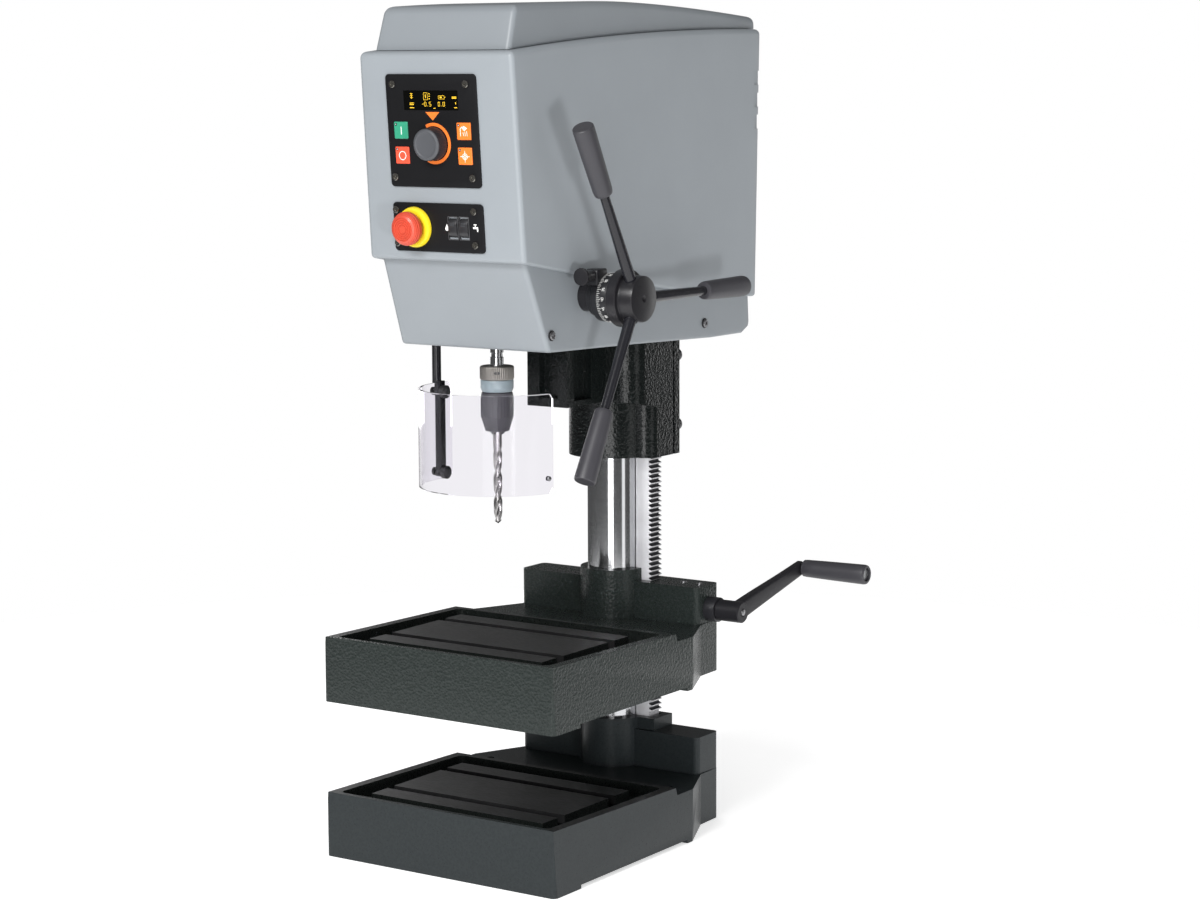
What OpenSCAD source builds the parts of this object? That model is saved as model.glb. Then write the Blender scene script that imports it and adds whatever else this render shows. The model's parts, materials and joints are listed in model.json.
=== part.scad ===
// Bench drill press: round column, rack-lifted table, quill head under a moulded cover.
// X points to the feed handles, Y to the rear, Z up. The origin is the middle of the
// four base bolts, on the floor.

/* [Layout] */
// Distance from the column axis to the spindle axis
throat = 250; // [246:1:254]
// Distance of the column axis behind the middle of the base
column_y = 170; // [160:1:180]
// Height of the table's underside above the floor
table_z = 193; // [185:1:215]

/* [Column and rack] */
// Diameter of the column
column_d = 65; // [60:1:65]
// Module of the lifting rack and of the quill rack
tooth_module = 2; // [2:1:2]
// Width of the lifting rack
rack_w = 24; // [20:1:26]

/* [Base and table castings] */
// Width of each casting at its rim
casting_w = 336; // [326:2:346]
// Length of each casting
casting_l = 417; // [411:1:421]
// Height of the front wall
casting_h = 80; // [78:1:84]
// Width of the machined plate in the tray
plate_w = 256; // [240:2:264]
// Length of the machined plate in the tray
plate_l = 184; // [170:2:190]
// Width of a T-slot's mouth
slot_w = 14; // [12:1:16]
// Distance between the two T-slots
slot_gap = 108; // [100:2:116]

/* [Head] */
// Width of the cover's main hood
hood_w = 227; // [224:1:232]
// Wall thickness of the cover
cover_t = 4; // [3:0.5:5]
// Travel of the quill
quill_travel = 80; // [60:5:80]
// Diameter of the quill
quill_d = 50; // [50:1:50]
// Length of the feed arms from the hub's axis to the grips' ends
feed_reach = 234; // [215:1:240]

/* [Chuck and guard] */
// Diameter of the drill
drill_d = 10.6; // [6:0.2:12]
// Inner radius of the clear guard
guard_r = 92; // [88:1:95]
// Thickness of the clear guard
guard_t = 3; // [2:0.5:4]

/* [Crank] */
// Radius at which the crank's handle turns
crank_r = 160; // [120:5:165]

/* [Hidden] */
$fn = 64;
eps = 0.01;
fit = 0.05;
gap = 0.3;
side = [-1, 1];
column_r = column_d / 2;
spindle_y = column_y - throat;

// Casting shape, measured from the column axis
front_y = 38 - casting_l;
rear_y = 38;
rim_h = 75;
rim_end_y = front_y + 265;
deck_h = 65.5;
plate_h = 76;
tray_floor = 62;
wing_h = 113;
wing_x = 136;
wing_y = -12.6;
collar_r = 42;
collar_h = 128;
draft = 3;
hollow_top = 48;
plate_y = -throat;

// Lifting gear, measured from the column axis and the table's underside
lift_y = 15;
rack_x = 33;
rack_face_x = 57;
gear_teeth = 15;
gear_r = tooth_module * gear_teeth / 2;
gear_x = rack_face_x - tooth_module + gear_r;
crank_z = 83;
worm_r = 8;
gear_z = crank_z - gear_r - worm_r - 1.3;
tooth_pitch = PI * tooth_module;

// Head, measured from the column axis and the floor
feed_z = 687;
feed_teeth = 14;
feed_r = tooth_module * feed_teeth / 2;
quill_r = quill_d / 2;
quill_flat = quill_r - 2.5;
feed_y = -throat + quill_flat - tooth_module + feed_r;
quill_bottom = 640;
quill_top = 850;
spindle_top = 985;
pulley_z = 893;
motor_y = 108;
head_top = 862;

// Cover profile, measured from the column axis and the floor
hood_front_low = [-349.2, 733.5];
hood_front_top = [-368.5, 975];
hood_rear_low = [166, 660];
hood_rear_top = [181, 1003];
lid_front = -355;
lid_rear = 190;
lid_w = 197;
lid_top_w = 190;
skirt_front_top = [-337.6, 731.5];
skirt_front_low = [-296, 626];
skirt_rear = 158.5;
skirt_top_w = 208;
skirt_low_w = 221;
face_tilt = atan((hood_front_low[0] - hood_front_top[0]) / (hood_front_top[1] - hood_front_low[1]));
panel_x = -6;
panel_z = 884;
panel_size = 131;
switch_z = 771.8;
switch_h = 57.4;

// Feed hub along X
bush_x = 121;
dial_x = 131;
flange_x = 156;
hub_x = 169.5;
hub_end = 189;
arm_x = 178;
arm_splay = 1.2;

// Guard, measured from the spindle axis and the floor
guard_low = 456;
guard_high = 575;
guard_post_x = 1 - guard_r;
knob_heights = [466, 565];

// Holes for the base bolts, crank, clamp screws and cover screws
bolt_x = 138;
bolt_y = 87;
crank_tilt = 12;
crank_hub = 151.6;
clamp_heights = [503, 592];
screw_places = [[-291, 646], [46, 635]];
screw_seat = 109.3;
arm_angles = [0, 120, 240];

// Controls, measured from the middle of each panel
estop_x = -40;
rocker_x = [15.4, 31.4];
key_places = [[-46, 0.5], [-46, -28.5], [45, 0], [45, -28.5]];
panel_bolts = [[-55, 54], [51, 54], [-58, -54], [54, -54]];
switch_bolts = [[-60.5, 20], [52.5, 20], [-60.5, -19], [52.5, -19]];
display_at = [-0.5, 35.3];
dial_at = [1, -14.5];

function unit(v) = v / norm(v);
function corner(p, c, q, r, n) =
    let (u = unit(p - c), v = unit(q - c), half = acos(u * v) / 2)
    let (a = c + u * r / tan(half), b = c + v * r / tan(half), m = c + unit(u + v) * r / sin(half))
    [for (k = [0:n]) m + unit(a + (b - a) * k / n - m) * r];
function rounded(pts, r, n = 5) =
    let (last = len(pts))
    [for (i = [0:last - 1]) each corner(pts[(i + last - 1) % last], pts[i], pts[(i + 1) % last], r, n)];

// Rounded rectangle of width w about x = 0, from y0 to y1
function box_plan(w, y0, y1, r) =
    rounded([[-w / 2, y0], [w / 2, y0], [w / 2, y1], [-w / 2, y1]], r);

function inv(a) = tan(a) * 180 / PI - a;
function flank(r, base, half) = half + inv(20) - inv(acos(min(1, base / r)));
function tooth(teeth, a, play) =
    let (rp = tooth_module * teeth / 2, base = rp * cos(20), half = 90 / teeth - play)
    let (radii = [rp - 1.25 * tooth_module, max(base, rp - tooth_module), rp, rp + 0.9 * tooth_module])
    [for (s = side) for (k = [0:3]) let (r = radii[s < 0 ? k : 3 - k], f = flank(r, base, half))
        [r * cos(a + s * f), r * sin(a + s * f)]];

// Outline of a gear, with one tooth pointing to the angle a
function gear_outline(teeth, a) =
    [for (i = [0:teeth - 1]) each tooth(teeth, a + 360 * i / teeth, 0.6)];

// Heights of the seams in the cover, at a distance y from the column axis
function lid_seam(y) = 976 + 28 * (1 - pow(1 - (y - lid_front) / (lid_rear - lid_front), 2));
function skirt_seam(y) = 661 + 72 * pow(max(0, 1 - (y - hood_front_low[0]) / 517), 1.25);
function lid_top(y) = 1034.5 - 15 * pow(abs(y + 130) / 320, 1.7);

module at_column(z = 0) {
    translate([0, column_y, z]) children();
}

module at_spindle(z = 0) {
    translate([0, spindle_y, z]) children();
}

// A side view, as points [y, z], extruded along X to a width
module side_plate(pts, w, x = 0) {
    translate([x - w / 2, 0, 0])
        rotate([90, 0, 90]) linear_extrude(w) polygon(pts);
}

// A front view, as points [x, z], extruded along Y from y0 to y1
module front_plate(pts, y0, y1) {
    translate([0, y1, 0]) rotate([90, 0, 0]) linear_extrude(y1 - y0) polygon(pts);
}

module rod_x(r, x0, x1, y = 0, z = 0) {
    translate([x0, y, z]) rotate([0, 90, 0]) cylinder(h = x1 - x0, r = r);
}

module rod_y(r, y0, y1, x = 0, z = 0) {
    translate([x, y1, z]) rotate([90, 0, 0]) cylinder(h = y1 - y0, r = r);
}

module tube(r_out, r_in, h) {
    difference() {
        cylinder(h = h, r = r_out);
        translate([0, 0, -1]) cylinder(h = h + 2, r = r_in);
    }
}

// Socket head screw along +Z, head on top of z = 0
module socket_screw(d, l) {
    difference() {
        union() {
            cylinder(h = d, r = 0.8 * d);
            translate([0, 0, -l]) cylinder(h = l + eps, r = d / 2);
        }
        translate([0, 0, 0.45 * d]) cylinder(h = d, r = 0.46 * d, $fn = 6);
    }
}

// Places a child on the hood's sloping front face, its +Z pointing out of the face
module on_face(x, z, off = 0) {
    y = hood_front_low[0] - (z - hood_front_low[1]) * tan(face_tilt);
    translate([x, column_y + y, z]) rotate([90 + face_tilt, 0, 0]) translate([0, 0, off]) children();
}

// ---- Base and table castings ----

function casting_plan() =
    let (w = casting_w / 2 + draft)
    [[-w, front_y], [w, front_y], [w, -80], [138, -8], [wing_x, rear_y],
     [-wing_x, rear_y], [-138, -8], [-w, -80]];

module casting_walls() {
    w = casting_w / 2;
    intersection() {
        linear_extrude(casting_h + 1) polygon(rounded(casting_plan(), 7));
        side_plate([[front_y - 1, 0], [front_y + 2, casting_h], [rim_end_y, rim_h],
                    [rim_end_y + 3, deck_h], [rear_y + 1, deck_h], [rear_y + 1, 0]], casting_w + 40);
        front_plate([[-w - draft, -1], [w + draft, -1], [w, casting_h + 2], [-w, casting_h + 2]],
                    front_y - 5, rear_y + 5);
    }
}

module tray_recess() {
    w = casting_w / 2 - 13;
    difference() {
        translate([0, 0, tray_floor]) linear_extrude(40)
            polygon(box_plan(2 * w, front_y + 9, rim_end_y - 10, 8));
        translate([-plate_w / 2, plate_y - plate_l / 2, tray_floor - 1])
            cube([plate_w, plate_l, plate_h - tray_floor + 1]);
    }
    for (s = side) translate([0, plate_y + s * slot_gap / 2, 0]) {
        translate([-plate_w / 2 - 5, -slot_w / 2, plate_h - 20]) cube([plate_w + 10, slot_w, 40]);
        translate([-plate_w / 2 - 5, -slot_w / 2 - 4.5, plate_h - 20]) cube([plate_w + 10, slot_w + 9, 9]);
    }
}

module casting_hollow() {
    w = casting_w / 2 - 12;
    translate([-w, front_y + 14, -1]) cube([2 * w, -66 - front_y - 14, hollow_top + 1]);
    // sides are raised between the front foot and the rear foot
    translate([-casting_w, front_y + 54, -1]) cube([2 * casting_w, 234, 5.5]);
}

module casting() {
    difference() {
        union() {
            casting_walls();
            translate([0, 0, deck_h - 1]) linear_extrude(wing_h - deck_h + 1)
                polygon(box_plan(2 * wing_x, wing_y, rear_y, 7));
            translate([0, 0, 2]) cylinder(h = collar_h - 2, r = collar_r);
        }
        tray_recess();
        casting_hollow();
    }
}

module rack_slot(z0, z1, play) {
    translate([rack_x - 6, lift_y - rack_w / 2 - play, z0])
        cube([rack_face_x + play - rack_x + 6, rack_w + 2 * play, z1 - z0]);
}

module base_casting() {
    color("#3a3f40") at_column() difference() {
        union() {
            casting();
            translate([20, lift_y - 22, deck_h]) cube([47, 43, collar_h - deck_h]);
            at_bolts() cylinder(h = hollow_top + 5, r = 13);
        }
        translate([0, 0, 12]) cylinder(h = collar_h, r = column_r);
        rack_slot(collar_h - 14, collar_h + 2, 0);
        at_bolts() translate([0, 0, -1]) cylinder(h = deck_h + 20, r = 5.5);
        for (s = side) translate([s * 97 - 33, -44, -1]) cube([66, 70, hollow_top + 1]);
    }
}

module at_bolts() {
    for (x = side, y = side) translate([x * bolt_x, y * bolt_y - column_y, 0]) children();
}

module table_casting() {
    color("#343b3a") at_column(table_z) difference() {
        casting();
        translate([0, 0, -1]) cylinder(h = collar_h + 2, r = column_r + fit);
        rack_slot(-1, collar_h + 2, 0.5);
        // gear pocket, worm bore and gear pin bore
        translate([rack_face_x - 2, lift_y - rack_w / 2 - 0.5, -1])
            cube([gear_x + gear_r + 4 - rack_face_x + 2, rack_w + 1, gear_z + gear_r + 5]);
        rod_x(worm_r + 3, rack_face_x, 92, lift_y, crank_z);
        rod_x(14, 90, wing_x + 1, lift_y, crank_z);
        rod_y(6, lift_y - 22, rear_y + 1, gear_x, gear_z);
        for (x = [98, 122]) translate([x, lift_y, crank_z]) cylinder(h = 40, r = 4);
        translate([-97 - 33, -52, -1]) cube([66, 78, hollow_top + 1]);
    }
}

// ---- Column and lifting rack ----

module column() {
    color("#c9ccd0") at_column(12) tube(column_r, column_r - 9, 738);
}

module rack() {
    first = gear_z + table_z;
    teeth_low = floor((collar_h + 6 - first) / tooth_pitch);
    teeth_high = 40;
    half = tooth_pitch / 4 - 0.15;
    slope = tan(20) * tooth_module;
    root_x = rack_face_x - 2.2 * tooth_module;
    color("#b9bbb6") at_column() front_plate(concat(
        [[rack_x, collar_h - 14], [root_x, collar_h - 14]],
        [for (k = [teeth_low:teeth_high]) let (z = first + (k + 0.5) * tooth_pitch)
            each [[root_x, z - half - 1.2 * slope], [rack_face_x, z - half + slope],
                  [rack_face_x, z + half - slope], [root_x, z + half + 1.2 * slope]]],
        [[root_x, 512], [rack_x, 512]]), lift_y - rack_w / 2, lift_y + rack_w / 2);
}

// ---- Table lift: gear, worm and crank ----

module lift_gear() {
    color("#8d9092") at_column(table_z) translate([gear_x, lift_y, gear_z])
        rotate([90, 0, 0]) translate([0, 0, -rack_w / 2 + 1]) difference() {
            linear_extrude(rack_w - 2) polygon(gear_outline(gear_teeth, 180));
            translate([0, 0, -1]) cylinder(h = rack_w, r = 6 + fit);
        }
}

module gear_pin() {
    color("#a9acaf") at_column(table_z) rod_y(6, lift_y - 21, rear_y - 2, gear_x, gear_z);
}

// Single-start worm: an eccentric circle wound along the shaft, in mesh with the gear at rest
module worm_shaft() {
    length = 25;
    start_x = rack_face_x + 3;
    mesh_x = gear_x + (gear_r + 1.3) * sin(6) - start_x;
    color("#8d9092") at_column(table_z) translate([0, lift_y, crank_z]) {
        translate([start_x, 0, 0]) rotate([0, 90, 0]) rotate([0, 0, 180 + 360 * mesh_x / tooth_pitch])
            linear_extrude(length, twist = 360 * length / tooth_pitch, slices = 80, $fn = 16)
                translate([1.7, 0]) circle(r = worm_r - 1.7, $fn = 16);
        rod_x(7, start_x + length - 1, crank_hub + 30);
        rod_x(10, 85, 90);
    }
}

module crank_bush() {
    color("#2f3032") at_column(table_z) translate([90.5, lift_y, crank_z]) rotate([0, 90, 0])
        difference() {
            union() {
                cylinder(h = wing_x - 90.5 + 1, r = 14);
                translate([0, 0, wing_x - 90.5 + 0.2]) cylinder(h = 15, r = 15.6);
            }
            translate([0, 0, -1]) cylinder(h = 80, r = 7 + fit);
            for (x = [98, 122]) translate([-30, 0, x - 90.5]) rotate([0, 90, 0]) cylinder(h = 20, r = 4);
        }
}

module bush_screws() {
    color("#9a9c9e") at_column(table_z) for (x = [98, 122])
        translate([x, lift_y, crank_z + 12]) difference() {
            cylinder(h = wing_h - crank_z - 10.5, r = 4);
            translate([0, 0, wing_h - crank_z - 13]) cylinder(h = 5, r = 2.3, $fn = 6);
        }
}

module at_crank() {
    at_column(table_z) translate([crank_hub, lift_y, crank_z])
        rotate([crank_tilt, 0, 0]) children();
}

module crank_arm() {
    color("#3a3b40") at_crank() difference() {
        union() {
            rod_x(13.5, 0, 35);
            hull() {
                rod_x(12, 18, 32, 0, 0, $fn = 32);
                rod_x(9, 21, 32, crank_r, 0, $fn = 32);
            }
        }
        rod_x(7, -1, 33);
        rod_x(4, 30, 40);
        rod_x(5, 10, 40, crank_r, 0);
    }
}

module crank_screw() {
    color("#8f9193") at_crank() rod_x(4, 31, 35.6);
}

module crank_pin() {
    color("#9fa2a5") at_crank() {
        rod_x(5, 21, 121, crank_r, 0);
        rod_x(8, 121, 123, crank_r, 0);
    }
}

module crank_handle() {
    color("#3d3e43") at_crank() difference() {
        union() {
            rod_x(11, 33.5, 37, crank_r, 0);
            translate([36, crank_r, 0]) rotate([0, 90, 0]) cylinder(h = 89.5, r1 = 11.2, r2 = 12.8);
        }
        rod_x(5 + fit, 30, 126, crank_r, 0);
        rod_x(8.6, 120.5, 126, crank_r, 0);
    }
}

// ---- Head casting ----

module head_blank() {
    // clamp around the column, with a lug for the rack
    at_column(467) cylinder(h = 90, r = 56);
    at_column(467) linear_extrude(90)
        polygon(concat(corner([10, -24], [72, -24], [72, 46], 18, 5), [[72, 46], [10, 46], [10, -24]]));
    at_column() intersection() {
        side_plate([[-60, 541], [40, 522], [46, 560], [46, 780], [-60, 780]], 144);
        translate([0, 0, 500]) linear_extrude(300) polygon(concat(
            corner([-72, 46], [-72, -60], [72, -60], 26, 6),
            corner([-72, -60], [72, -60], [72, 46], 26, 6), [[72, 46], [-72, 46]]));
    }
    // front box and web to the quill housing
    at_column() side_plate([[-145, 541], [-40, 541], [-40, 800], [-232, 846], [-232, 642], [-145, 642]], 60);
    at_column(700) cylinder(h = 80, r = 49);
    at_spindle(642) cylinder(h = head_top - 642, r = 40);
    // shelf for the motor
    at_column(798) translate([-62, -40, 0]) cube([124, 205, 12]);
    at_column(760) translate([-40, -30, 0]) cube([80, 78, 40]);
    // arms that hold the cover's screws and the guard's post
    at_column(640) translate([-102, -295, 0]) cube([204, 14, 13]);
    at_column(628) translate([-103, 34, 0]) cube([206, 20, 14]);
    at_spindle(664) translate([guard_post_x - 10, -10, 0]) cube([-guard_post_x, 20, 34]);
}

module head_casting() {
    color("#23282a") difference() {
        head_blank();
        at_column(460) cylinder(h = 290, r = column_r + 0.02);
        at_column() rack_slot(460, 520, gap);
        at_spindle(600) cylinder(h = 300, r = quill_r + fit);
        at_column() rod_x(feed_r + tooth_module + 0.6, -41, 41, feed_y, feed_z);
        at_column() rod_x(10 + fit, -80, 80, feed_y, feed_z);
        at_column() rod_x(16 + fit, 30, 50, feed_y, feed_z);
        at_spindle(650) translate([guard_post_x, 0, 0]) cylinder(h = 60, r = 5.5 + fit);
        // cast pockets in the front box
        at_column(552) translate([-12, -146, 0]) cube([28, 13, 86]);
        for (s = side) at_column(548) translate([s * 30 - 12, -130, 0]) cube([24, 37, 86]);
        // slot that lets the clamp close on the column
        at_column(460) translate([20, 31, 0]) cube([60, 3, 330]);
        at_column() for (z = clamp_heights) rod_y(5.5, 20, 60, 62, z);
        at_column(798) translate([0, motor_y, -1]) cylinder(h = 20, r = 51);
        at_column(620) for (x = [-48, 48]) translate([x - 14, -20, 0]) cube([28, 46, 120]);
    }
}

module head_clamp_screws() {
    color("#17191b") at_column() for (z = clamp_heights)
        translate([62, 46, z]) rotate([-90, 0, 0]) socket_screw(10, 24);
}

// ---- Cover ----

function span(a, b, n) = [for (k = [0:n]) a + (b - a) * k / n];

function hood_side(o, low) = concat(
    [for (y = span(hood_front_low[0] + o, hood_rear_low[0] - o, 10)) [y, skirt_seam(y) + low]],
    [for (y = span(hood_rear_top[0] - o, lid_front, 10)) [y, lid_seam(y) - o]],
    [[hood_front_top[0] + o, hood_front_top[1] + 1 - o]]);

function lid_side(o) = concat(
    [for (y = span(lid_front + o, lid_rear - o, 10)) [y, lid_seam(y) + (o > 0 ? -6 : 0.2)]],
    [for (y = span(lid_rear - o, lid_front + 16 + o, 12)) [y, lid_top(y) - o]]);

function skirt_side(o) = let (low = -2 * o) concat(
    [[skirt_front_low[0] + o, 626 + low], [-106, 621 + low], [60, 615.5 + low], [skirt_rear - 30, 615 + low]],
    o > 0 ? [[skirt_rear - o, 615 + low]] :
        [[skirt_rear - 12, 617], [skirt_rear - 3, 625], [skirt_rear, 640]],
    [for (y = span(skirt_rear - o, skirt_front_top[0] + o, 8)) [y, skirt_seam(y) + 5 + 2 * o]]);

module hood_solid(o) {
    intersection() {
        side_plate(hood_side(o, o > 0 ? 3 : 0), hood_w - 2 * o);
        translate([0, 0, 600]) linear_extrude(500)
            polygon(box_plan(hood_w - 2 * o, hood_front_top[0] - 2, hood_rear_top[0] + 2, 6 - o));
        front_plate([[-hood_w / 2 - 0.5 + o, 640], [hood_w / 2 + 0.5 - o, 640],
                     [hood_w / 2 - 3 - o, 1010], [3 + o - hood_w / 2, 1010]], -400, 300);
    }
}

module cover_hood() {
    color("#9aa0a6") at_column() difference() {
        hood_solid(0);
        hood_solid(cover_t);
        // opening for the skirt below and for the belt cover above
        skirt_outer(0.3);
        translate([0, 0, 960]) linear_extrude(80)
            polygon(box_plan(lid_w - 20, lid_front + 12, lid_rear - 24, 8));
        // three shallow recesses across the rear and round its corners
        for (z = [877, 905, 933]) {
            translate([-hood_w / 2 - 5, 163.5 + 15 * (z - 651) / 343, z]) cube([hood_w + 10, 20, 18]);
            for (s = side) translate([s > 0 ? 109 : -124, 163, z]) cube([15, 25, 18]);
        }
        on_face_local(panel_x, panel_z) translate([-57, -40, -10]) cube([113, 52.5, 20]);
        on_face_local(estop_x, switch_z) translate([0, 0, -10]) cylinder(h = 20, r = 12);
        on_face_local(rocker_x[0], switch_z) translate([-8, -14, -10]) cube([32, 28, 20]);
    }
}

module on_face_local(x, z) {
    translate([0, -column_y, 0]) on_face(x, z) children();
}

module skirt_outer(play) {
    intersection() {
        side_plate(skirt_side(-play), skirt_low_w + 20);
        front_plate([[-skirt_low_w / 2 - play, 600], [skirt_low_w / 2 + play, 600],
                     [skirt_top_w / 2 + play, 740], [-skirt_top_w / 2 - play, 740]], -400, 300);
        translate([0, 0, 560]) linear_extrude(240)
            polygon(box_plan(skirt_low_w + 2 * play, skirt_front_top[0] - 2, skirt_rear + 0.5 + play, 6));
    }
}

module cover_skirt() {
    color("#969ca2") at_column() difference() {
        skirt_outer(0);
        intersection() {
            side_plate(skirt_side(cover_t), skirt_low_w - 2 * cover_t);
            front_plate([[cover_t - skirt_low_w / 2, 590], [skirt_low_w / 2 - cover_t, 590],
                         [skirt_top_w / 2 - cover_t, 760], [cover_t - skirt_top_w / 2, 760]], -400, 300);
            translate([0, 0, 560]) linear_extrude(240)
                polygon(box_plan(skirt_low_w, skirt_front_top[0], skirt_rear - cover_t, 4));
        }
        rod_x(19, 90, 140, feed_y, feed_z);
        rod_y(11, 140, 170, -60, 646);
        for (s = side) for (p = screw_places) rod_x(3.2, s > 0 ? 90 : -130, s > 0 ? 130 : -90, p[0], p[1]);
    }
}

module cover_lid() {
    color("#a3a9ae") at_column() difference() {
        lid_solid(0);
        lid_solid(cover_t);
    }
}

module lid_solid(o) {
    intersection() {
        side_plate(lid_side(o), lid_w + 4);
        front_plate([[o - lid_w / 2, 950], [lid_w / 2 - o, 950],
                     [lid_top_w / 2 - o, 1040], [o - lid_top_w / 2, 1040]], -400, 300);
        translate([0, 0, 940]) linear_extrude(120)
            polygon(box_plan(lid_w - 2 * o, lid_front + o - 1, lid_rear - o, 6 - o));
    }
}

module cover_screws() {
    color("#6d6f72") at_column() for (s = side) for (p = screw_places)
        translate([s * screw_seat, p[0], p[1]]) rotate([0, s * 90, 0]) difference() {
            union() {
                cylinder(h = 2.6, r = 5);
                translate([0, 0, -16]) cylinder(h = 17, r = 3);
            }
            translate([0, 0, 0.9]) cylinder(h = 3, r = 2.3, $fn = 6);
        }
}

module cable_gland() {
    color("#2b2c2e") at_column() difference() {
        union() {
            rod_y(11, 150, skirt_rear + 4, -60, 646);
            rod_y(9, skirt_rear + 3, skirt_rear + 18, -60, 646);
        }
        rod_y(4, 140, skirt_rear + 20, -60, 646);
    }
}

// ---- Controls ----

module face_plate(w, h, holes) {
    difference() {
        linear_extrude(2) polygon(box_plan(w, -h / 2, h / 2, 5));
        for (p = holes) translate([p[0], p[1], -1]) cylinder(h = 4, r = p[2]);
    }
}

module display_panel() {
    color("#1d1e20") on_face(panel_x, panel_z, 0.2) difference() {
        face_plate(panel_size, panel_size, [[dial_at[0], dial_at[1], 5.2]]);
        for (k = key_places) translate([k[0] - 10.2, k[1] - 10.2, -1]) cube([20.4, 20.4, 4]);
        translate([display_at[0] - 39.4, display_at[1] - 11.5, -1]) cube([78.8, 23, 4]);
        for (p = panel_bolts) translate([p[0], p[1], -1]) cylinder(h = 4, r = 2.1);
    }
}

module display_window() {
    color("#0b0b0a") on_face(panel_x, panel_z, 0.4)
        translate([display_at[0] - 39.2, display_at[1] - 11.3, 0]) cube([78.4, 22.6, 1.6]);
}

module switch_panel() {
    color("#1d1e20") on_face(panel_x, switch_z, 0.2) difference() {
        face_plate(panel_size, switch_h, [for (p = switch_bolts) [p[0], p[1], 2.1]]);
        translate([estop_x - panel_x, 0, -1]) cylinder(h = 4, r = 11.2);
        for (x = rocker_x) translate([x - panel_x - 6.6, -13, -1]) cube([13.2, 26, 4]);
    }
}

module panel_screws() {
    color("#141416") {
        for (p = panel_bolts) on_face(panel_x + p[0], panel_z + p[1] * cos(face_tilt), 2.3) panel_screw();
        for (p = switch_bolts) on_face(panel_x + p[0], switch_z + p[1], 2.3) panel_screw();
    }
}

module panel_screw() {
    difference() {
        union() {
            cylinder(h = 2.4, r = 4.4);
            translate([0, 0, -6.5]) cylinder(h = 7, r = 2);
        }
        translate([0, 0, 1]) cylinder(h = 3, r = 2, $fn = 6);
    }
}

module speed_knob() {
    color("#3b3c40") on_face(panel_x + dial_at[0], panel_z + dial_at[1], 3) {
        cylinder(h = 15, r1 = 19.5, r2 = 18.6);
        translate([0, 0, 15 - eps]) cylinder(h = 1.5, r1 = 18.6, r2 = 17);
        translate([0, 0, -12]) cylinder(h = 13, r = 5);
    }
}

module key_button(i) {
    on_face(panel_x + key_places[i][0], panel_z + key_places[i][1], -3) {
        translate([-10, -10, 1]) cube([20, 20, 5.2]);
        translate([-8, -8, 0]) cube([16, 16, 1.1]);
        translate([-3, -3, -4]) cube([6, 6, 5]);
    }
}

module start_button() {
    color("#3ca878") key_button(0);
}

module stop_button() {
    color("#f0503c") key_button(1);
}

module light_button() {
    color("#f07828") key_button(2);
}

module coolant_button() {
    color("#f07828") key_button(3);
}

module control_board() {
    color("#2f6b3f") on_face(panel_x, panel_z, -14) {
        translate([-60, -60, -1.6]) cube([120, 120, 1.6]);
        for (x = side, y = side) translate([x * 50, y * 47, -eps]) cylinder(h = 9.8, r = 3);
    }
}

module estop_collar() {
    color("#f5dc28") on_face(estop_x, switch_z, 2.4) difference() {
        union() {
            cylinder(h = 6, r1 = 24, r2 = 22.5);
            translate([0, 0, -20]) cylinder(h = 21, r = 11);
        }
        translate([0, 0, -30]) cylinder(h = 40, r = 7.1);
    }
}

module estop_button() {
    color("#f0503c") on_face(estop_x, switch_z, 2.4) {
        translate([0, 0, -16]) cylinder(h = 32, r = 7);
        translate([0, 0, 12]) cylinder(h = 9, r1 = 19.5, r2 = 20);
        translate([0, 0, 21 - eps]) cylinder(h = 4, r1 = 20, r2 = 15);
    }
}

module rocker(i) {
    color("#252629") on_face(rocker_x[i], switch_z, -6) intersection() {
        translate([-6, -12, 0]) cube([12, 24, 14]);
        rod_x(14.5, -6, 6, 0, -3);
    }
}

module light_rocker() {
    rocker(0);
}

module coolant_rocker() {
    rocker(1);
}

// ---- Quill, spindle and chuck ----

module quill() {
    half = tooth_pitch / 4 - 0.15;
    slope = tan(20) * tooth_module;
    pitch_y = quill_flat - tooth_module;
    count = 14;
    color("#b9bcbf") at_spindle(quill_bottom) difference() {
        cylinder(h = quill_top - quill_bottom, r = quill_r);
        translate([0, 0, -1]) cylinder(h = 17, r = 20);
        translate([0, 0, 12]) cylinder(h = quill_top, r = 13);
        translate([0, 0, quill_top - quill_bottom - 14]) cylinder(h = 20, r = 20);
        // rack cut across the rear of the quill
        translate([-30, quill_flat, feed_z - quill_bottom - 17]) cube([60, 10, (count + 4) * tooth_pitch]);
        for (k = [-1:count]) translate([0, 0, feed_z - quill_bottom + k * tooth_pitch])
            side_plate([[pitch_y - 1.2 * tooth_module, 1.2 * slope + half - tooth_pitch / 2],
                        [quill_flat + 1, half - tooth_pitch / 2 - 1.5 * slope],
                        [quill_flat + 1, tooth_pitch / 2 - half + 1.5 * slope],
                        [pitch_y - 1.2 * tooth_module, tooth_pitch / 2 - half - 1.2 * slope]], 60);
    }
}

module quill_bearings() {
    color("#d0d2d4") at_spindle() for (z = [quill_bottom + 0.5, quill_top - 13.5])
        translate([0, 0, z]) tube(20, 12 + fit, 13);
}

module spindle() {
    color("#cfd1d3") at_spindle() {
        difference() {
            translate([0, 0, 600]) cylinder(h = 38, r = 8.2);
            translate([0, 0, 612]) tube(12, 6.8, 5);
        }
        translate([0, 0, 637]) cylinder(h = 215, r = 12);
        translate([0, 0, 851]) cylinder(h = spindle_top - 851, r = 8);
    }
}

module chuck_body() {
    color("#8f8c86") at_spindle(585) difference() {
        union() {
            cylinder(h = 16.5, r = 20.7);
            translate([0, 0, -28]) cylinder(h = 29, r = 12);
        }
        translate([0, 0, 3]) cylinder(h = 20, r = 8.2);
        translate([0, -22, 9]) rotate([-90, 0, 0]) cylinder(h = 8, r = 1.8);
    }
}

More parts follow.
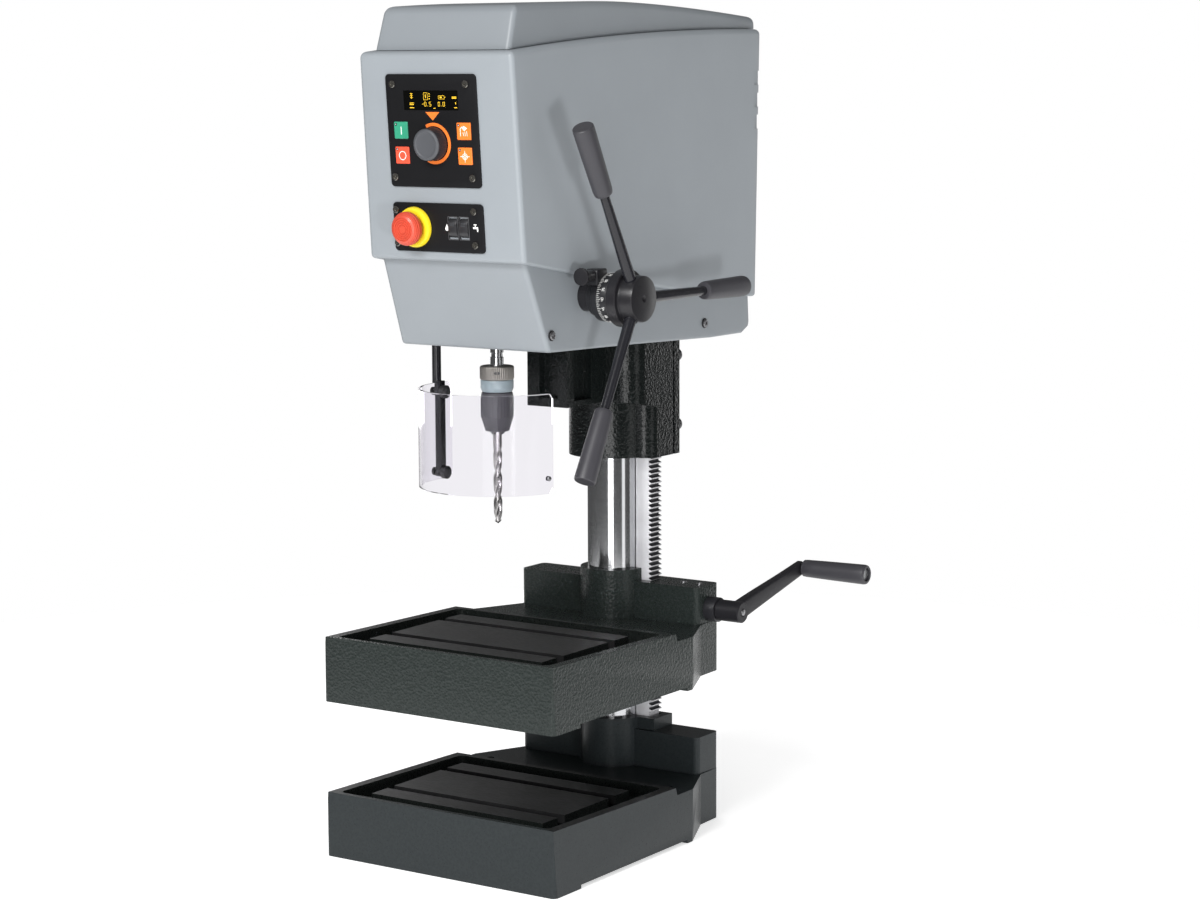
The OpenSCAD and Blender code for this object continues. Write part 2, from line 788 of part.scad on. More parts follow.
module chuck_collar() {
    color("#a9b6ba") at_spindle(570.3) rotate_extrude()
        polygon([[12.05, 0], [18, 0], [20, 4.5], [20, 14.5], [12.05, 14.5]]);
}

module chuck_sleeve() {
    color("#3c3b3f") at_spindle() difference() {
        union() {
            translate([0, 0, 522.5]) cylinder(h = 16, r1 = 14.5, r2 = 19.2);
            translate([0, 0, 538.5 - eps]) cylinder(h = 25, r = 20);
            translate([0, 0, 563.5 - 2 * eps]) cylinder(h = 6, r1 = 20, r2 = 18.4);
        }
        translate([0, 0, 510]) cylinder(h = 46.5, r = 10);
        translate([0, 0, 556]) cylinder(h = 20, r = 12 + 0.1);
    }
}

module chuck_jaws() {
    color("#6f7072") at_spindle(518.5) for (a = [0:120:240]) rotate([0, 0, a + 20])
        translate([drill_d / 2 + 0.02, -2.6, 0]) cube([4, 5.2, 36]);
}

// Twist drill: two flutes wound round the shank, then the point
module drill_bit() {
    flute = 84;
    color("#b8babd") at_spindle() {
        translate([0, 0, 495]) cylinder(h = 58, r = drill_d / 2);
        translate([0, 0, 412]) linear_extrude(flute, twist = -520, slices = 40, $fn = 24) difference() {
            circle(r = drill_d / 2, $fn = 14);
            for (s = side) translate([s * 0.4 * drill_d, 0]) circle(r = 0.25 * drill_d, $fn = 8);
        }
        translate([0, 0, 409.5]) cylinder(h = 2.6, r1 = 0.5, r2 = 0.15 * drill_d);
    }
}

// ---- Drive ----

module pulley(r, h, hub_r, bore) {
    difference() {
        union() {
            cylinder(h = h, r = r);
            cylinder(h = 3, r = r + 3);
            translate([0, 0, h - 3]) cylinder(h = 3, r = r + 3);
            translate([0, 0, -8]) cylinder(h = 9, r = hub_r);
        }
        translate([0, 0, -10]) cylinder(h = h + 20, r = bore);
    }
}

module spindle_pulley() {
    color("#a2a5a8") at_spindle(pulley_z) {
        pulley(45, 34, 17, 8 + fit);
        translate([0, 0, -26]) tube(12, 8 + fit, 19);
    }
}

module pulley_bearing() {
    color("#d0d2d4") at_spindle(head_top + 0.2) difference() {
        union() {
            cylinder(h = 16, r = 30);
            cylinder(h = 5, r = 38);
        }
        translate([0, 0, -1]) cylinder(h = 30, r = 12 + fit);
    }
}

module motor_pulley() {
    color("#a2a5a8") at_column(pulley_z) translate([0, motor_y, 0]) pulley(25, 34, 14, 9.5);
}

module motor_shaft() {
    color("#c4c6c8") at_column() translate([0, motor_y, 0]) {
        translate([0, 0, 700]) cylinder(h = 230, r = 9.5);
        translate([0, 0, 725]) cylinder(h = 110, r = 28);
    }
}

module motor_housing() {
    color("#4a5560") at_column() translate([0, motor_y, 0]) difference() {
        union() {
            translate([0, 0, 684]) cylinder(h = 170, r = 50);
            translate([-60, -52, 810.5]) cube([120, 104, 10]);
            for (a = [0:30:330]) rotate([0, 0, a]) translate([-2, 0, 695]) cube([4, 53.5, 100]);
        }
        translate([0, 0, 692]) cylinder(h = 150, r = 42);
        translate([0, 0, 835]) cylinder(h = 30, r = 9.5 + fit);
    }
}

module drive_belt() {
    color("#1b1b1d") at_column(pulley_z + 5) linear_extrude(24) difference() {
        polygon(belt_outline(4.2));
        polygon(belt_outline(0.4));
    }
}

// Outline of the belt's run round both pulleys, grown by o
function belt_outline(o) =
    let (lean = asin((45 - 25) / (throat + motor_y)), r1 = 45 + o, r2 = 25 + o) concat(
    [for (a = span(180 - lean, 360 + lean, 32)) [r1 * cos(a), r1 * sin(a) - throat]],
    [for (a = span(lean, 180 - lean, 24)) [r2 * cos(a), r2 * sin(a) + motor_y]]);

// ---- Feed ----

module at_feed() {
    at_column(feed_z) translate([0, feed_y, 0]) children();
}

module feed_shaft() {
    color("#a9acaf") at_feed() {
        rotate([0, -90, 0]) translate([0, 0, -15]) linear_extrude(30)
            polygon(gear_outline(feed_teeth, 270));
        rod_x(10, -74, -14);
        rod_x(10, 14, hub_end - 3);
    }
}

module feed_bush() {
    color("#33353a") at_feed() difference() {
        union() {
            rod_x(18, 44, bush_x - 0.5);
            rod_x(16, 30, 45);
        }
        rod_x(10 + fit, 20, 130);
    }
}

module depth_dial() {
    color("#2c2d31") at_feed() difference() {
        union() {
            rod_x(22.5, bush_x, dial_x + 1);
            translate([dial_x, 0, 0]) rotate([0, 90, 0])
                cylinder(h = flange_x - dial_x - 0.5, r1 = 28.5, r2 = 30);
            translate([125, -27, 17]) cube([16, 22, 18]);
        }
        rod_x(10 + fit, 100, 170);
        rod_y(3.1, -40, 0, 133, 27);
    }
}

module dial_knob() {
    color("#2a2b2f") at_feed() {
        rod_y(3, -30, -12, 133, 27);
        rod_y(7, -40, -27.3, 133, 27);
        translate([133, -40 + eps, 27]) rotate([90, 0, 0]) cylinder(h = 7, r1 = 7, r2 = 10.7);
        rod_y(10.7, -50, -47 + 2 * eps, 133, 27);
    }
}

module feed_hub() {
    color("#34353a") at_feed() difference() {
        union() {
            rod_x(34, flange_x, hub_x);
            rod_x(27.5, hub_x - 1, hub_end - 1);
            translate([hub_end - 1 - eps, 0, 0]) rotate([0, 90, 0]) cylinder(h = 1, r1 = 27.5, r2 = 26.5);
        }
        rod_x(10, flange_x - 1, hub_end - 3);
        for (a = arm_angles) rotate([a, 0, 0]) arm_place() cylinder(h = 40, r = 5);
    }
}

// Turns a child's +Z into an arm's direction: rearwards along Y, splayed a little to +X
module arm_place() {
    translate([arm_x, 0, 0]) rotate([-90, 0, 0]) rotate([0, arm_splay, 0]) translate([0, 0, 16]) children();
}

module feed_rods() {
    color("#2f3035") at_feed() for (a = arm_angles) rotate([a, 0, 0]) arm_place() {
        translate([0, 0, 0.5]) cylinder(h = 14, r = 5);
        translate([0, 0, 11.8]) cylinder(h = feed_reach - 90 - 27.8, r1 = 7.2, r2 = 5.6);
        translate([0, 0, feed_reach - 110]) cylinder(h = 60, r = 4.5);
    }
}

module feed_grips() {
    color("#45444a") at_feed() for (a = arm_angles) rotate([a, 0, 0]) arm_place()
        translate([0, 0, feed_reach - 90 - 16]) difference() {
            union() {
                cylinder(h = 5, r = 10.6);
                translate([0, 0, 5 - eps]) cylinder(h = 83, r1 = 11.4, r2 = 12.9);
                translate([0, 0, 88 - 2 * eps]) cylinder(h = 2, r1 = 12.9, r2 = 11.8);
            }
            translate([0, 0, -1]) cylinder(h = 57.5, r = 4.5);
        }
}

module spring_case() {
    color("#55585c") at_feed() difference() {
        rod_x(24, -68, -42);
        rod_x(21.5, -65, -41);
        rod_x(10 + fit, -80, -30);
    }
}

// Flat spiral spring that lifts the quill
module return_spring() {
    turns = 4;
    color("#6c7076") at_feed() translate([-62, 0, 0]) rotate([0, 90, 0]) linear_extrude(14) polygon(concat(
        [for (a = [0:15:360 * turns]) (12 + 8 * a / 360 / turns) * [cos(a), sin(a)]],
        [for (a = [360 * turns:-15:0]) (12.7 + 8 * a / 360 / turns) * [cos(a), sin(a)]]));
}

// ---- Guard ----

module guard_rod() {
    color("#4c4e52") at_spindle() {
        translate([guard_post_x, 0, guard_high + 0.3]) cylinder(h = 125, r = 5.5);
        difference() {
            translate([guard_post_x + 0.2, -5, guard_low + 5]) cube([8.5, 10, guard_high - guard_low - 2]);
            for (z = knob_heights) rod_x(3, -guard_r - 5, 0, 0, z);
        }
        translate([guard_post_x, 0, 699]) cylinder(h = 6, r = 9);
    }
}

module guard_shield() {
    color("#dfe4ea", 0.35) at_spindle(guard_low) difference() {
        union() {
            rotate([0, 0, 180]) rotate_extrude(angle = 170)
                translate([guard_r, 0]) square([guard_t, guard_high - guard_low]);
            translate([-guard_r - guard_t, 0, 0]) cube([guard_t, 31, guard_high - guard_low]);
        }
        for (z = knob_heights) rod_x(3, -guard_r - 8, -guard_r + 4, 0, z - guard_low);
    }
}

module guard_knobs() {
    color("#1c1d20") at_spindle() for (z = knob_heights) translate([0, 0, z]) {
        rod_x(2.9, -guard_r - guard_t - 4, 10 - guard_r);
        translate([9.8 - guard_r, 0, 0]) rotate([0, 90, 0]) cylinder(h = 6, r = 8);
        translate([15.8 - guard_r - eps, 0, 0]) rotate([0, 90, 0]) cylinder(h = 3, r1 = 8, r2 = 4.5);
        rod_x(5, -guard_r - guard_t - 4, -guard_r - guard_t - 0.1);
    }
}

base_casting();
table_casting();
column();
rack();
lift_gear();
gear_pin();
worm_shaft();
crank_bush();
bush_screws();
crank_arm();
crank_screw();
crank_pin();
crank_handle();
head_casting();
head_clamp_screws();
cover_hood();
cover_lid();
cover_skirt();
cover_screws();
cable_gland();
display_panel();
display_window();
switch_panel();
panel_screws();
speed_knob();
start_button();
stop_button();
light_button();
coolant_button();
control_board();
estop_collar();
estop_button();
light_rocker();
coolant_rocker();
quill();
quill_bearings();
spindle();
chuck_body();
chuck_collar();
chuck_sleeve();
chuck_jaws();
drill_bit();
spindle_pulley();
pulley_bearing();
motor_pulley();
motor_shaft();
motor_housing();
drive_belt();
feed_shaft();
feed_bush();
depth_dial();
dial_knob();
feed_hub();
feed_rods();
feed_grips();
spring_case();
return_spring();
guard_rod();
guard_shield();
guard_knobs();
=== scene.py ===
import json
import math

import bmesh
import bpy
from mathutils import Matrix, Vector


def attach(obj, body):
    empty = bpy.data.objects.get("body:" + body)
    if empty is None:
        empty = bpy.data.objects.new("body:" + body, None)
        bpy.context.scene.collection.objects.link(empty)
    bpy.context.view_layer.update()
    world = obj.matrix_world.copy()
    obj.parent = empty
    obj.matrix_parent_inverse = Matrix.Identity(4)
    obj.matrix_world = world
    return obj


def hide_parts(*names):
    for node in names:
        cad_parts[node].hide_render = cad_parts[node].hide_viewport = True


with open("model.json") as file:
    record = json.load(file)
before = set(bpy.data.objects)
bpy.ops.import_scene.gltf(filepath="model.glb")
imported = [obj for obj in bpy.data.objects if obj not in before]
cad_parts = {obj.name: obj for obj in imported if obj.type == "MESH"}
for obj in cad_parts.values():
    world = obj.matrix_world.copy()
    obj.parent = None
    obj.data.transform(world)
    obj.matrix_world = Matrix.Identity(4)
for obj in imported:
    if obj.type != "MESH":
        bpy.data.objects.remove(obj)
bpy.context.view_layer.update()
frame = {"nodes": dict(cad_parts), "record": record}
SCENE = bpy.context.scene
MM = 0.001
COL_Y = 170.0            # column axis
SP_Y = -80.0             # spindle axis
FEED = (-45.5, 687.0)    # feed shaft, Y and Z
NODE_BODY = {n: b for b, ns in frame["record"]["behaviour"]["bodies"].items() for n in ns}


# ------------------------------------------------------------------ materials

def sockets(m):
    return m.node_tree.nodes["Principled BSDF"].inputs


def put(inputs, values):
    for socket, value in values.items():
        inputs[socket].default_value = value


def surface(name, rough=0.5, metal=0.0, color=(0.5, 0.5, 0.5), coat=0.0, coat_rough=0.15, spec=0.5):
    m = bpy.data.materials.new(name)
    m.use_nodes = True
    put(sockets(m), {"Base Color": (*color, 1), "Roughness": rough, "Metallic": metal,
                     "Specular IOR Level": spec, "Coat Weight": coat, "Coat Roughness": coat_rough})
    return m


def link(m, a, b):
    m.node_tree.links.new(a, b)


def add_node(m, kind, values=None):
    n = m.node_tree.nodes.new("ShaderNode" + kind)
    put(n.inputs, values or {})
    return n


def coords(m, stretch=(1, 1, 1)):
    mp = add_node(m, "Mapping", {"Scale": stretch})
    link(m, add_node(m, "TexCoord").outputs["Object"], mp.inputs["Vector"])
    return mp.outputs["Vector"]


def noise(m, vec, scale, detail=3.0, rough=0.55, warp=0.0):
    n = add_node(m, "TexNoise", {"Scale": scale, "Detail": detail, "Roughness": rough, "Distortion": warp})
    link(m, vec, n.inputs["Vector"])
    return n.outputs["Fac"]


def cells(m, vec, scale, smooth):
    n = add_node(m, "TexVoronoi")
    n.feature = "SMOOTH_F1"
    put(n.inputs, {"Scale": scale, "Smoothness": smooth})
    link(m, vec, n.inputs["Vector"])
    return n.outputs["Distance"]


def remap(m, fac, lo, hi, to0, to1):
    n = add_node(m, "MapRange", {"From Min": lo, "From Max": hi, "To Min": to0, "To Max": to1})
    link(m, fac, n.inputs["Value"])
    return n.outputs["Result"]


def ramp(m, fac, stops):
    n = add_node(m, "ValToRGB")
    for e, (p, c) in zip(n.color_ramp.elements, stops):
        e.position = p
        e.color = (*c, 1)
    link(m, fac, n.inputs["Fac"])
    link(m, n.outputs["Color"], sockets(m)["Base Color"])


def rough_by(m, fac, lo, hi, r0, r1):
    link(m, remap(m, fac, lo, hi, r0, r1), sockets(m)["Roughness"])


def bump(m, heights):
    """heights: [(height socket, strength, distance in mm)], each stacked on the one before."""
    last = None
    for h, s, d in heights:
        n = add_node(m, "Bump", {"Strength": s, "Distance": d * MM})
        link(m, h, n.inputs["Height"])
        if last:
            link(m, last, n.inputs["Normal"])
        last = n.outputs["Normal"]
    link(m, last, sockets(m)["Normal"])


def shade(c, k):
    return tuple(min(1.0, v * k) for v in c)


def plastic(name, c, rough=0.45, grain=0.25, var=0.06, coat=0.0, fine=1400, spec=0.5):
    m = surface(name, rough, coat=coat, spec=spec)
    v = coords(m)
    ramp(m, noise(m, v, 9, 4), [(0.3, shade(c, 1 - var)), (0.7, shade(c, 1 + var))])
    g = noise(m, v, fine, 2, 0.6)
    rough_by(m, g, 0.3, 0.7, rough - 0.05, rough + 0.06)
    bump(m, [(g, grain, 0.05)])
    return m


def enamel(name, dark, light, scale=230, depth=0.35, rough=0.3, coat=0.5, amount=0.6, spec=0.3):
    """Hammered enamel over cast iron: shallow dimples with thin bright ridges."""
    m = surface(name, rough, coat=coat, coat_rough=0.14, spec=spec)
    v = coords(m)
    warp = noise(m, v, scale * 0.8, 2)
    big = cells(m, v, scale, 0.35)
    fine = noise(m, v, scale * 2.3, 3, 0.6, 0.6)
    mix = add_node(m, "Math")
    mix.operation = "MULTIPLY"
    link(m, big, mix.inputs[0])
    link(m, remap(m, warp, 0.3, 0.7, 0.5, 1.2), mix.inputs[1])
    ramp(m, mix.outputs[0], [(0.12, dark), (0.62, light)])
    rough_by(m, fine, 0.3, 0.7, rough - 0.06, rough + 0.1)
    bump(m, [(noise(m, v, 28, 2), 0.25, 1.2), (mix.outputs[0], amount, depth), (fine, 0.35, 0.12)])
    return m


def steel(name, c, rough=0.25, stretch=(1, 1, 1), scale=500, lines=0.12, var=0.08, metal=1.0):
    """Metal with fine machining lines; stretch is small along the lines."""
    m = surface(name, rough, metal)
    v = coords(m, stretch)
    s = noise(m, v, scale, 4, 0.6)
    w = noise(m, coords(m), 24, 4)
    ramp(m, w, [(0.3, shade(c, 1 - var)), (0.72, shade(c, 1 + var))])
    rough_by(m, s, 0.3, 0.7, max(0.04, rough - 0.06), rough + 0.08)
    bump(m, [(s, lines, 0.04)])
    return m


COVER = (0.262, 0.285, 0.306)
M = {}
M["cover"] = plastic("cover_plastic", COVER, 0.42, 0.22, 0.025)
# painted shade: the skirt is the hood's plastic darkened to 0.88, since its front tilts down away from the light
M["cover_skirt"] = plastic("cover_skirt_plastic", shade(COVER, 0.88), 0.42, 0.22, 0.025)
# painted shade: the lid is the hood's plastic darkened to 0.84
M["cover_lid"] = plastic("cover_lid_plastic", shade(COVER, 0.84), 0.42, 0.22, 0.025)
M["panel"] = plastic("panel_black", (0.0065, 0.0065, 0.0075), 0.5, 0.15, 0.15, spec=0.2)
M["rim"] = plastic("rocker_frame", (0.055, 0.055, 0.058), 0.4, 0.2, 0.1)
M["window"] = plastic("display_glass", (0.002, 0.002, 0.0015), 0.16, 0.02, 0.2, 0.0, spec=0.2)
M["knob"] = plastic("knob_grey", (0.066, 0.069, 0.077), 0.5, 0.5, 0.1)
M["knob_side"] = plastic("knob_side_grey", (0.022, 0.022, 0.026), 0.42, 0.4, 0.12)
M["black"] = plastic("black_plastic", (0.018, 0.018, 0.02), 0.4, 0.35, 0.15)
M["grip"] = plastic("grip_plastic", (0.040, 0.039, 0.045), 0.44, 0.35, 0.1, fine=900, spec=0.45)
M["green"] = plastic("key_green", (0.03, 0.29, 0.17), 0.4, 0.2, 0.04)
M["red"] = plastic("key_red", (0.80, 0.085, 0.04), 0.4, 0.2, 0.04)
M["orange"] = plastic("key_orange", (0.86, 0.19, 0.025), 0.4, 0.2, 0.04)
M["stop_red"] = plastic("stop_red", (0.57, 0.068, 0.035), 0.36, 0.12, 0.05, 0.1)
M["stop_yellow"] = plastic("stop_yellow", (0.90, 0.69, 0.02), 0.38, 0.15, 0.04, 0.2)
M["white"] = plastic("mark_white", (0.80, 0.80, 0.78), 0.5, 0.1, 0.03)
M["arm"] = plastic("crank_black", (0.013, 0.0125, 0.015), 0.4, 0.25, 0.12, spec=0.35)
M["amber"] = plastic("mark_amber", (0.95, 0.60, 0.03), 0.5, 0.1, 0.05)
put(sockets(M["amber"]), {"Emission Color": (1, 0.55, 0.03, 1), "Emission Strength": 0.3})
M["base"] = enamel("base_enamel", (0.0172, 0.0210, 0.0228), (0.0210, 0.0256, 0.0272),
                   300, 0.10, 0.32, 0.02, 0.2, 0.2)
M["table"] = enamel("table_enamel", (0.0150, 0.0195, 0.0180), (0.0215, 0.0270, 0.0255),
                    310, 0.5, 0.24, 0.05, 1.0, 0.22)
M["head"] = enamel("head_enamel", (0.0020, 0.0034, 0.0032), (0.0040, 0.0060, 0.0057),
                   310, 0.42, 0.2, 0.12, 0.9, 0.3)
M["plate"] = steel("machined_plate", (0.030, 0.030, 0.031), 0.36, (0.12, 1, 1), 900, 0.25, 0.3, 0.55)
M["tray"] = enamel("tray_enamel", (0.007, 0.009, 0.0085), (0.011, 0.013, 0.012), 260, 0.2, 0.28, 0.1, 0.4)
M["column"] = steel("column_steel", (0.58, 0.585, 0.60), 0.11, (1, 1, 14), 260, 0.04, 0.03)
M["rack"] = steel("rack_steel", (0.60, 0.60, 0.62), 0.42, (1, 1, 0.1), 700, 0.2, 0.1, 0.3)
M["steel"] = steel("turned_steel", (0.46, 0.47, 0.48), 0.26, (1, 1, 12), 400, 0.12, 0.08)
M["steel_x"] = steel("turned_steel_x", (0.42, 0.43, 0.44), 0.3, (12, 1, 1), 400, 0.12, 0.08)
M["gear"] = steel("gear_steel", (0.24, 0.24, 0.25), 0.4, (1, 1, 1), 500, 0.25, 0.15)
M["dark"] = plastic("black_steel", (0.018, 0.018, 0.021), 0.34, 0.12, 0.12, spec=0.5)
M["rod"] = plastic("black_rod", (0.012, 0.012, 0.015), 0.2, 0.06, 0.1, spec=0.45)
M["hub"] = plastic("hub_black", (0.012, 0.0115, 0.0135), 0.32, 0.1, 0.12, spec=0.4)
M["dial"] = plastic("dial_black", (0.010, 0.010, 0.012), 0.36, 0.1, 0.15, spec=0.45)
M["drill"] = steel("drill_steel", (0.34, 0.33, 0.33), 0.26, (1, 1, 4), 600, 0.12, 0.1)
M["jaw"] = steel("jaw_steel", (0.12, 0.12, 0.125), 0.36, (1, 1, 0.2), 500, 0.2, 0.15)
M["knurl"] = steel("knurled_steel", (0.24, 0.228, 0.212), 0.42, (1, 1, 1), 900, 0.3, 0.15, 0.85)
M["ring"] = plastic("light_ring", (0.20, 0.245, 0.27), 0.38, 0.3, 0.06, 0.2)
M["sleeve"] = plastic("dark_sleeve", (0.040, 0.039, 0.046), 0.42, 0.12, 0.12, spec=0.4)
M["alu"] = steel("aluminium", (0.50, 0.51, 0.52), 0.34, (1, 1, 8), 500, 0.15, 0.08)
M["motor"] = plastic("motor_paint", (0.06, 0.075, 0.10), 0.45, 0.5, 0.1)
M["rubber"] = plastic("belt_rubber", (0.012, 0.012, 0.013), 0.75, 0.6, 0.2)
M["board"] = plastic("board_green", (0.02, 0.11, 0.045), 0.4, 0.3, 0.15, 0.3)
M["spring"] = steel("spring_steel", (0.12, 0.13, 0.16), 0.35, (1, 1, 1), 500, 0.15, 0.2)
M["zinc"] = steel("zinc_screw", (0.30, 0.30, 0.31), 0.34, (1, 1, 1), 900, 0.25, 0.15)
M["blackscrew"] = steel("black_screw", (0.22, 0.21, 0.19), 0.2, (1, 1, 1), 900, 0.12, 0.2, 0.9)


def clear_plastic():
    m = surface("clear_shield", 0.03, color=(0.875, 0.86, 0.90))
    put(sockets(m), {"Transmission Weight": 1.0, "IOR": 1.14})
    v = coords(m)
    rough_by(m, noise(m, v, 40, 3), 0.35, 0.75, 0.015, 0.05)
    bump(m, [(noise(m, v, 18, 2), 0.04, 0.3)])
    return m


M["clear"] = clear_plastic()


# ------------------------------------------------------------------ mesh tools

def shift(x, y, z):
    return Matrix.Translation((x, y, z))


def spin(degrees, axis):
    return Matrix.Rotation(math.radians(degrees), 4, axis)


def settle(o, smooth=34):
    me = o.data
    me.polygons.foreach_set("use_smooth", [True] * len(me.polygons))
    me.set_sharp_from_angle(angle=math.radians(smooth))
    me.update()


def apply_mods(o):
    dg = bpy.context.evaluated_depsgraph_get()
    me = bpy.data.meshes.new_from_object(o.evaluated_get(dg))
    old = o.data
    o.modifiers.clear()
    o.data = me
    me.name = o.name
    bpy.data.meshes.remove(old)


def soften(o, width, segs=3, angle=34, smooth=34):
    if width:
        b = o.modifiers.new("edge", "BEVEL")
        b.width = width * MM
        b.segments = segs
        b.limit_method = "ANGLE"
        b.angle_limit = math.radians(angle)
        b.use_clamp_overlap = True
        b.miter_outer = "MITER_ARC"
        apply_mods(o)
    settle(o, smooth)


def register(o, body, nodes=()):
    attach(o, body)
    if nodes:
        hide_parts(*nodes)
    return o


def refine(node, mat, width=0.6, segs=2, angle=34, smooth=34, zones=()):
    """Copy of a CAD node with rounded edges. zones: (test(centre mm, normal), material)."""
    src = frame["nodes"][node]
    o = bpy.data.objects.new(node + "_visual", src.data.copy())
    SCENE.collection.objects.link(o)
    bm = bmesh.new()
    bm.from_mesh(o.data)
    bmesh.ops.remove_doubles(bm, verts=bm.verts, dist=0.002 * MM)
    bmesh.ops.dissolve_limit(bm, angle_limit=math.radians(1.2), use_dissolve_boundaries=False,
                             verts=bm.verts, edges=bm.edges, delimit=set())
    bm.to_mesh(o.data)
    bm.free()
    o.data.materials.clear()
    o.data.materials.append(mat)
    soften(o, width, segs, angle, smooth)
    if width > 2:    # the castings: wide rounds between large flat faces
        d = o.modifiers.new("normals", "WEIGHTED_NORMAL")
        d.keep_sharp = True
        apply_mods(o)
    for k, (test, zone_mat) in enumerate(zones):
        o.data.materials.append(zone_mat)
        for p in o.data.polygons:
            if test(p.center * 1000, p.normal):
                p.material_index = k + 1
    return register(o, NODE_BODY[node], (node,))


class Mesh:
    """Collects pieces in local millimetres, then becomes one object."""

    def __init__(self):
        self.bm = bmesh.new()
        self.mats = []

    def mat(self, m):
        if m not in self.mats:
            self.mats.append(m)
        return self.mats.index(m)

    def faces(self, verts, faces, m):
        i = self.mat(m)
        vs = [self.bm.verts.new(v) for v in verts]
        out = []
        for f in faces:
            try:
                g = self.bm.faces.new([vs[k] for k in f])
                g.material_index = i
                out.append(g)
            except ValueError:
                pass
        return out

    def prism(self, pts, z0, z1, m, at=None):
        n = len(pts)
        at = at or Matrix.Identity(4)
        v = [at @ Vector((x, y, z0)) for x, y in pts] + [at @ Vector((x, y, z1)) for x, y in pts]
        f = [[k, (k + 1) % n, n + (k + 1) % n, n + k] for k in range(n)]
        return self.faces(v, f + [list(range(n))[::-1], list(range(n, 2 * n))], m)

    def lathe(self, prof, m, segs=64, at=None, wave=None, cap=True):
        """prof: [(r, z)] turned about local Z. wave(angle, r, z) changes the radius."""
        at = at or Matrix.Identity(4)
        v, f = [], []
        for r, z in prof:
            for k in range(segs):
                a = 2 * math.pi * k / segs
                rr = r + (wave(a, r, z) if wave else 0)
                v.append(at @ Vector((rr * math.cos(a), rr * math.sin(a), z)))
        rows = len(prof)
        closed = prof[0] == prof[-1]
        for j in range(rows - 1):
            j1 = (j + 1) % (rows - 1) if closed else j + 1
            for k in range(segs):
                k1 = (k + 1) % segs
                f.append([j * segs + k, j * segs + k1, j1 * segs + k1, j1 * segs + k])
        if closed:
            v = v[:-segs]
        elif cap:
            f.append(list(range(segs))[::-1])
            f.append(list(range((rows - 1) * segs, rows * segs)))
        return self.faces(v, f, m)

    def rings(self, rows, m, loop=False, caps=True):
        n = len(rows[0])
        v = [p for row in rows for p in row]
        f = []
        last = len(rows) if loop else len(rows) - 1
        for j in range(last):
            j1 = (j + 1) % len(rows)
            for k in range(n):
                k1 = (k + 1) % n
                f.append([j * n + k, j * n + k1, j1 * n + k1, j1 * n + k])
        if caps and not loop:
            f.append(list(range(n))[::-1])
            f.append(list(range((len(rows) - 1) * n, len(rows) * n)))
        return self.faces(v, f, m)

    def piece(self, node, at=None, **how):
        """The look of one CAD node, which it replaces."""
        return self.done(node + "_visual", NODE_BODY[node], node, (node,), at, **how)

    def done(self, name, body, slot, nodes=(), at=None, width=0.0, segs=2, smooth=34, merge=0.0):
        if merge:
            bmesh.ops.remove_doubles(self.bm, verts=self.bm.verts, dist=merge)
        bmesh.ops.recalc_face_normals(self.bm, faces=self.bm.faces)
        self.bm.transform(Matrix.Scale(MM, 4) @ (at or Matrix.Identity(4)))
        me = bpy.data.meshes.new(name)
        self.bm.to_mesh(me)
        self.bm.free()
        for m in self.mats:
            me.materials.append(m)
        o = bpy.data.objects.new(name, me)
        SCENE.collection.objects.link(o)
        soften(o, width, segs, smooth=smooth)
        return register(o, body, nodes)


def turned(node, mat, segs, prof, axis=None, at=None, wave=None, smooth=30):
    """The look of a CAD node that is one profile turned about an axis."""
    t = Mesh()
    t.lathe(prof, M[mat], segs, axis, wave)
    return t.piece(node, at, smooth=smooth)


def cut(o, outlines, at=None):
    """Takes prisms, each given as (outline, z0, z1) in millimetres, out of a closed piece."""
    t = Mesh()
    for pts, z0, z1 in outlines:
        t.prism(pts, z0, z1, M["panel"])
    me = bpy.data.meshes.new("cutter")
    bmesh.ops.recalc_face_normals(t.bm, faces=t.bm.faces)
    t.bm.transform(Matrix.Scale(MM, 4) @ (at or Matrix()))
    t.bm.to_mesh(me)
    t.bm.free()
    c = bpy.data.objects.new("cutter", me)
    SCENE.collection.objects.link(c)
    d = o.modifiers.new("cut", "BOOLEAN")
    d.operation = "DIFFERENCE"
    d.solver = "EXACT"
    d.object = c
    apply_mods(o)
    bpy.data.objects.remove(c)
    bpy.data.meshes.remove(me)


def rounded(x0, x1, y0, y1, r, n=6):
    out = []
    for cx, cy, a0 in ((x1 - r, y0 + r, -90), (x1 - r, y1 - r, 0), (x0 + r, y1 - r, 90),
                       (x0 + r, y0 + r, 180)):
        for k in range(n + 1):
            a = math.radians(a0 + 90 * k / n)
            out.append((cx + r * math.cos(a), cy + r * math.sin(a)))
    return out


def circle(r, n=32, x=0.0, y=0.0):
    return [(x + r * math.cos(2 * math.pi * k / n), y + r * math.sin(2 * math.pi * k / n)) for k in range(n)]


def stroke(p, q, w):
    (x0, y0), (x1, y1) = p, q
    l = math.hypot(x1 - x0, y1 - y0) or 1
    nx, ny = (y0 - y1) / l * w / 2, (x1 - x0) / l * w / 2
    return [(x0 - nx, y0 - ny), (x1 - nx, y1 - ny), (x1 + nx, y1 + ny), (x0 + nx, y0 + ny)]


SEGMENTS = {"0": "abcdef", "1": "bc", "2": "abged", "3": "abgcd", "4": "fgbc", "5": "afgcd", "6": "afgedc",
            "7": "abc", "8": "abcdefg", "9": "abfgcd", "-": "g"}


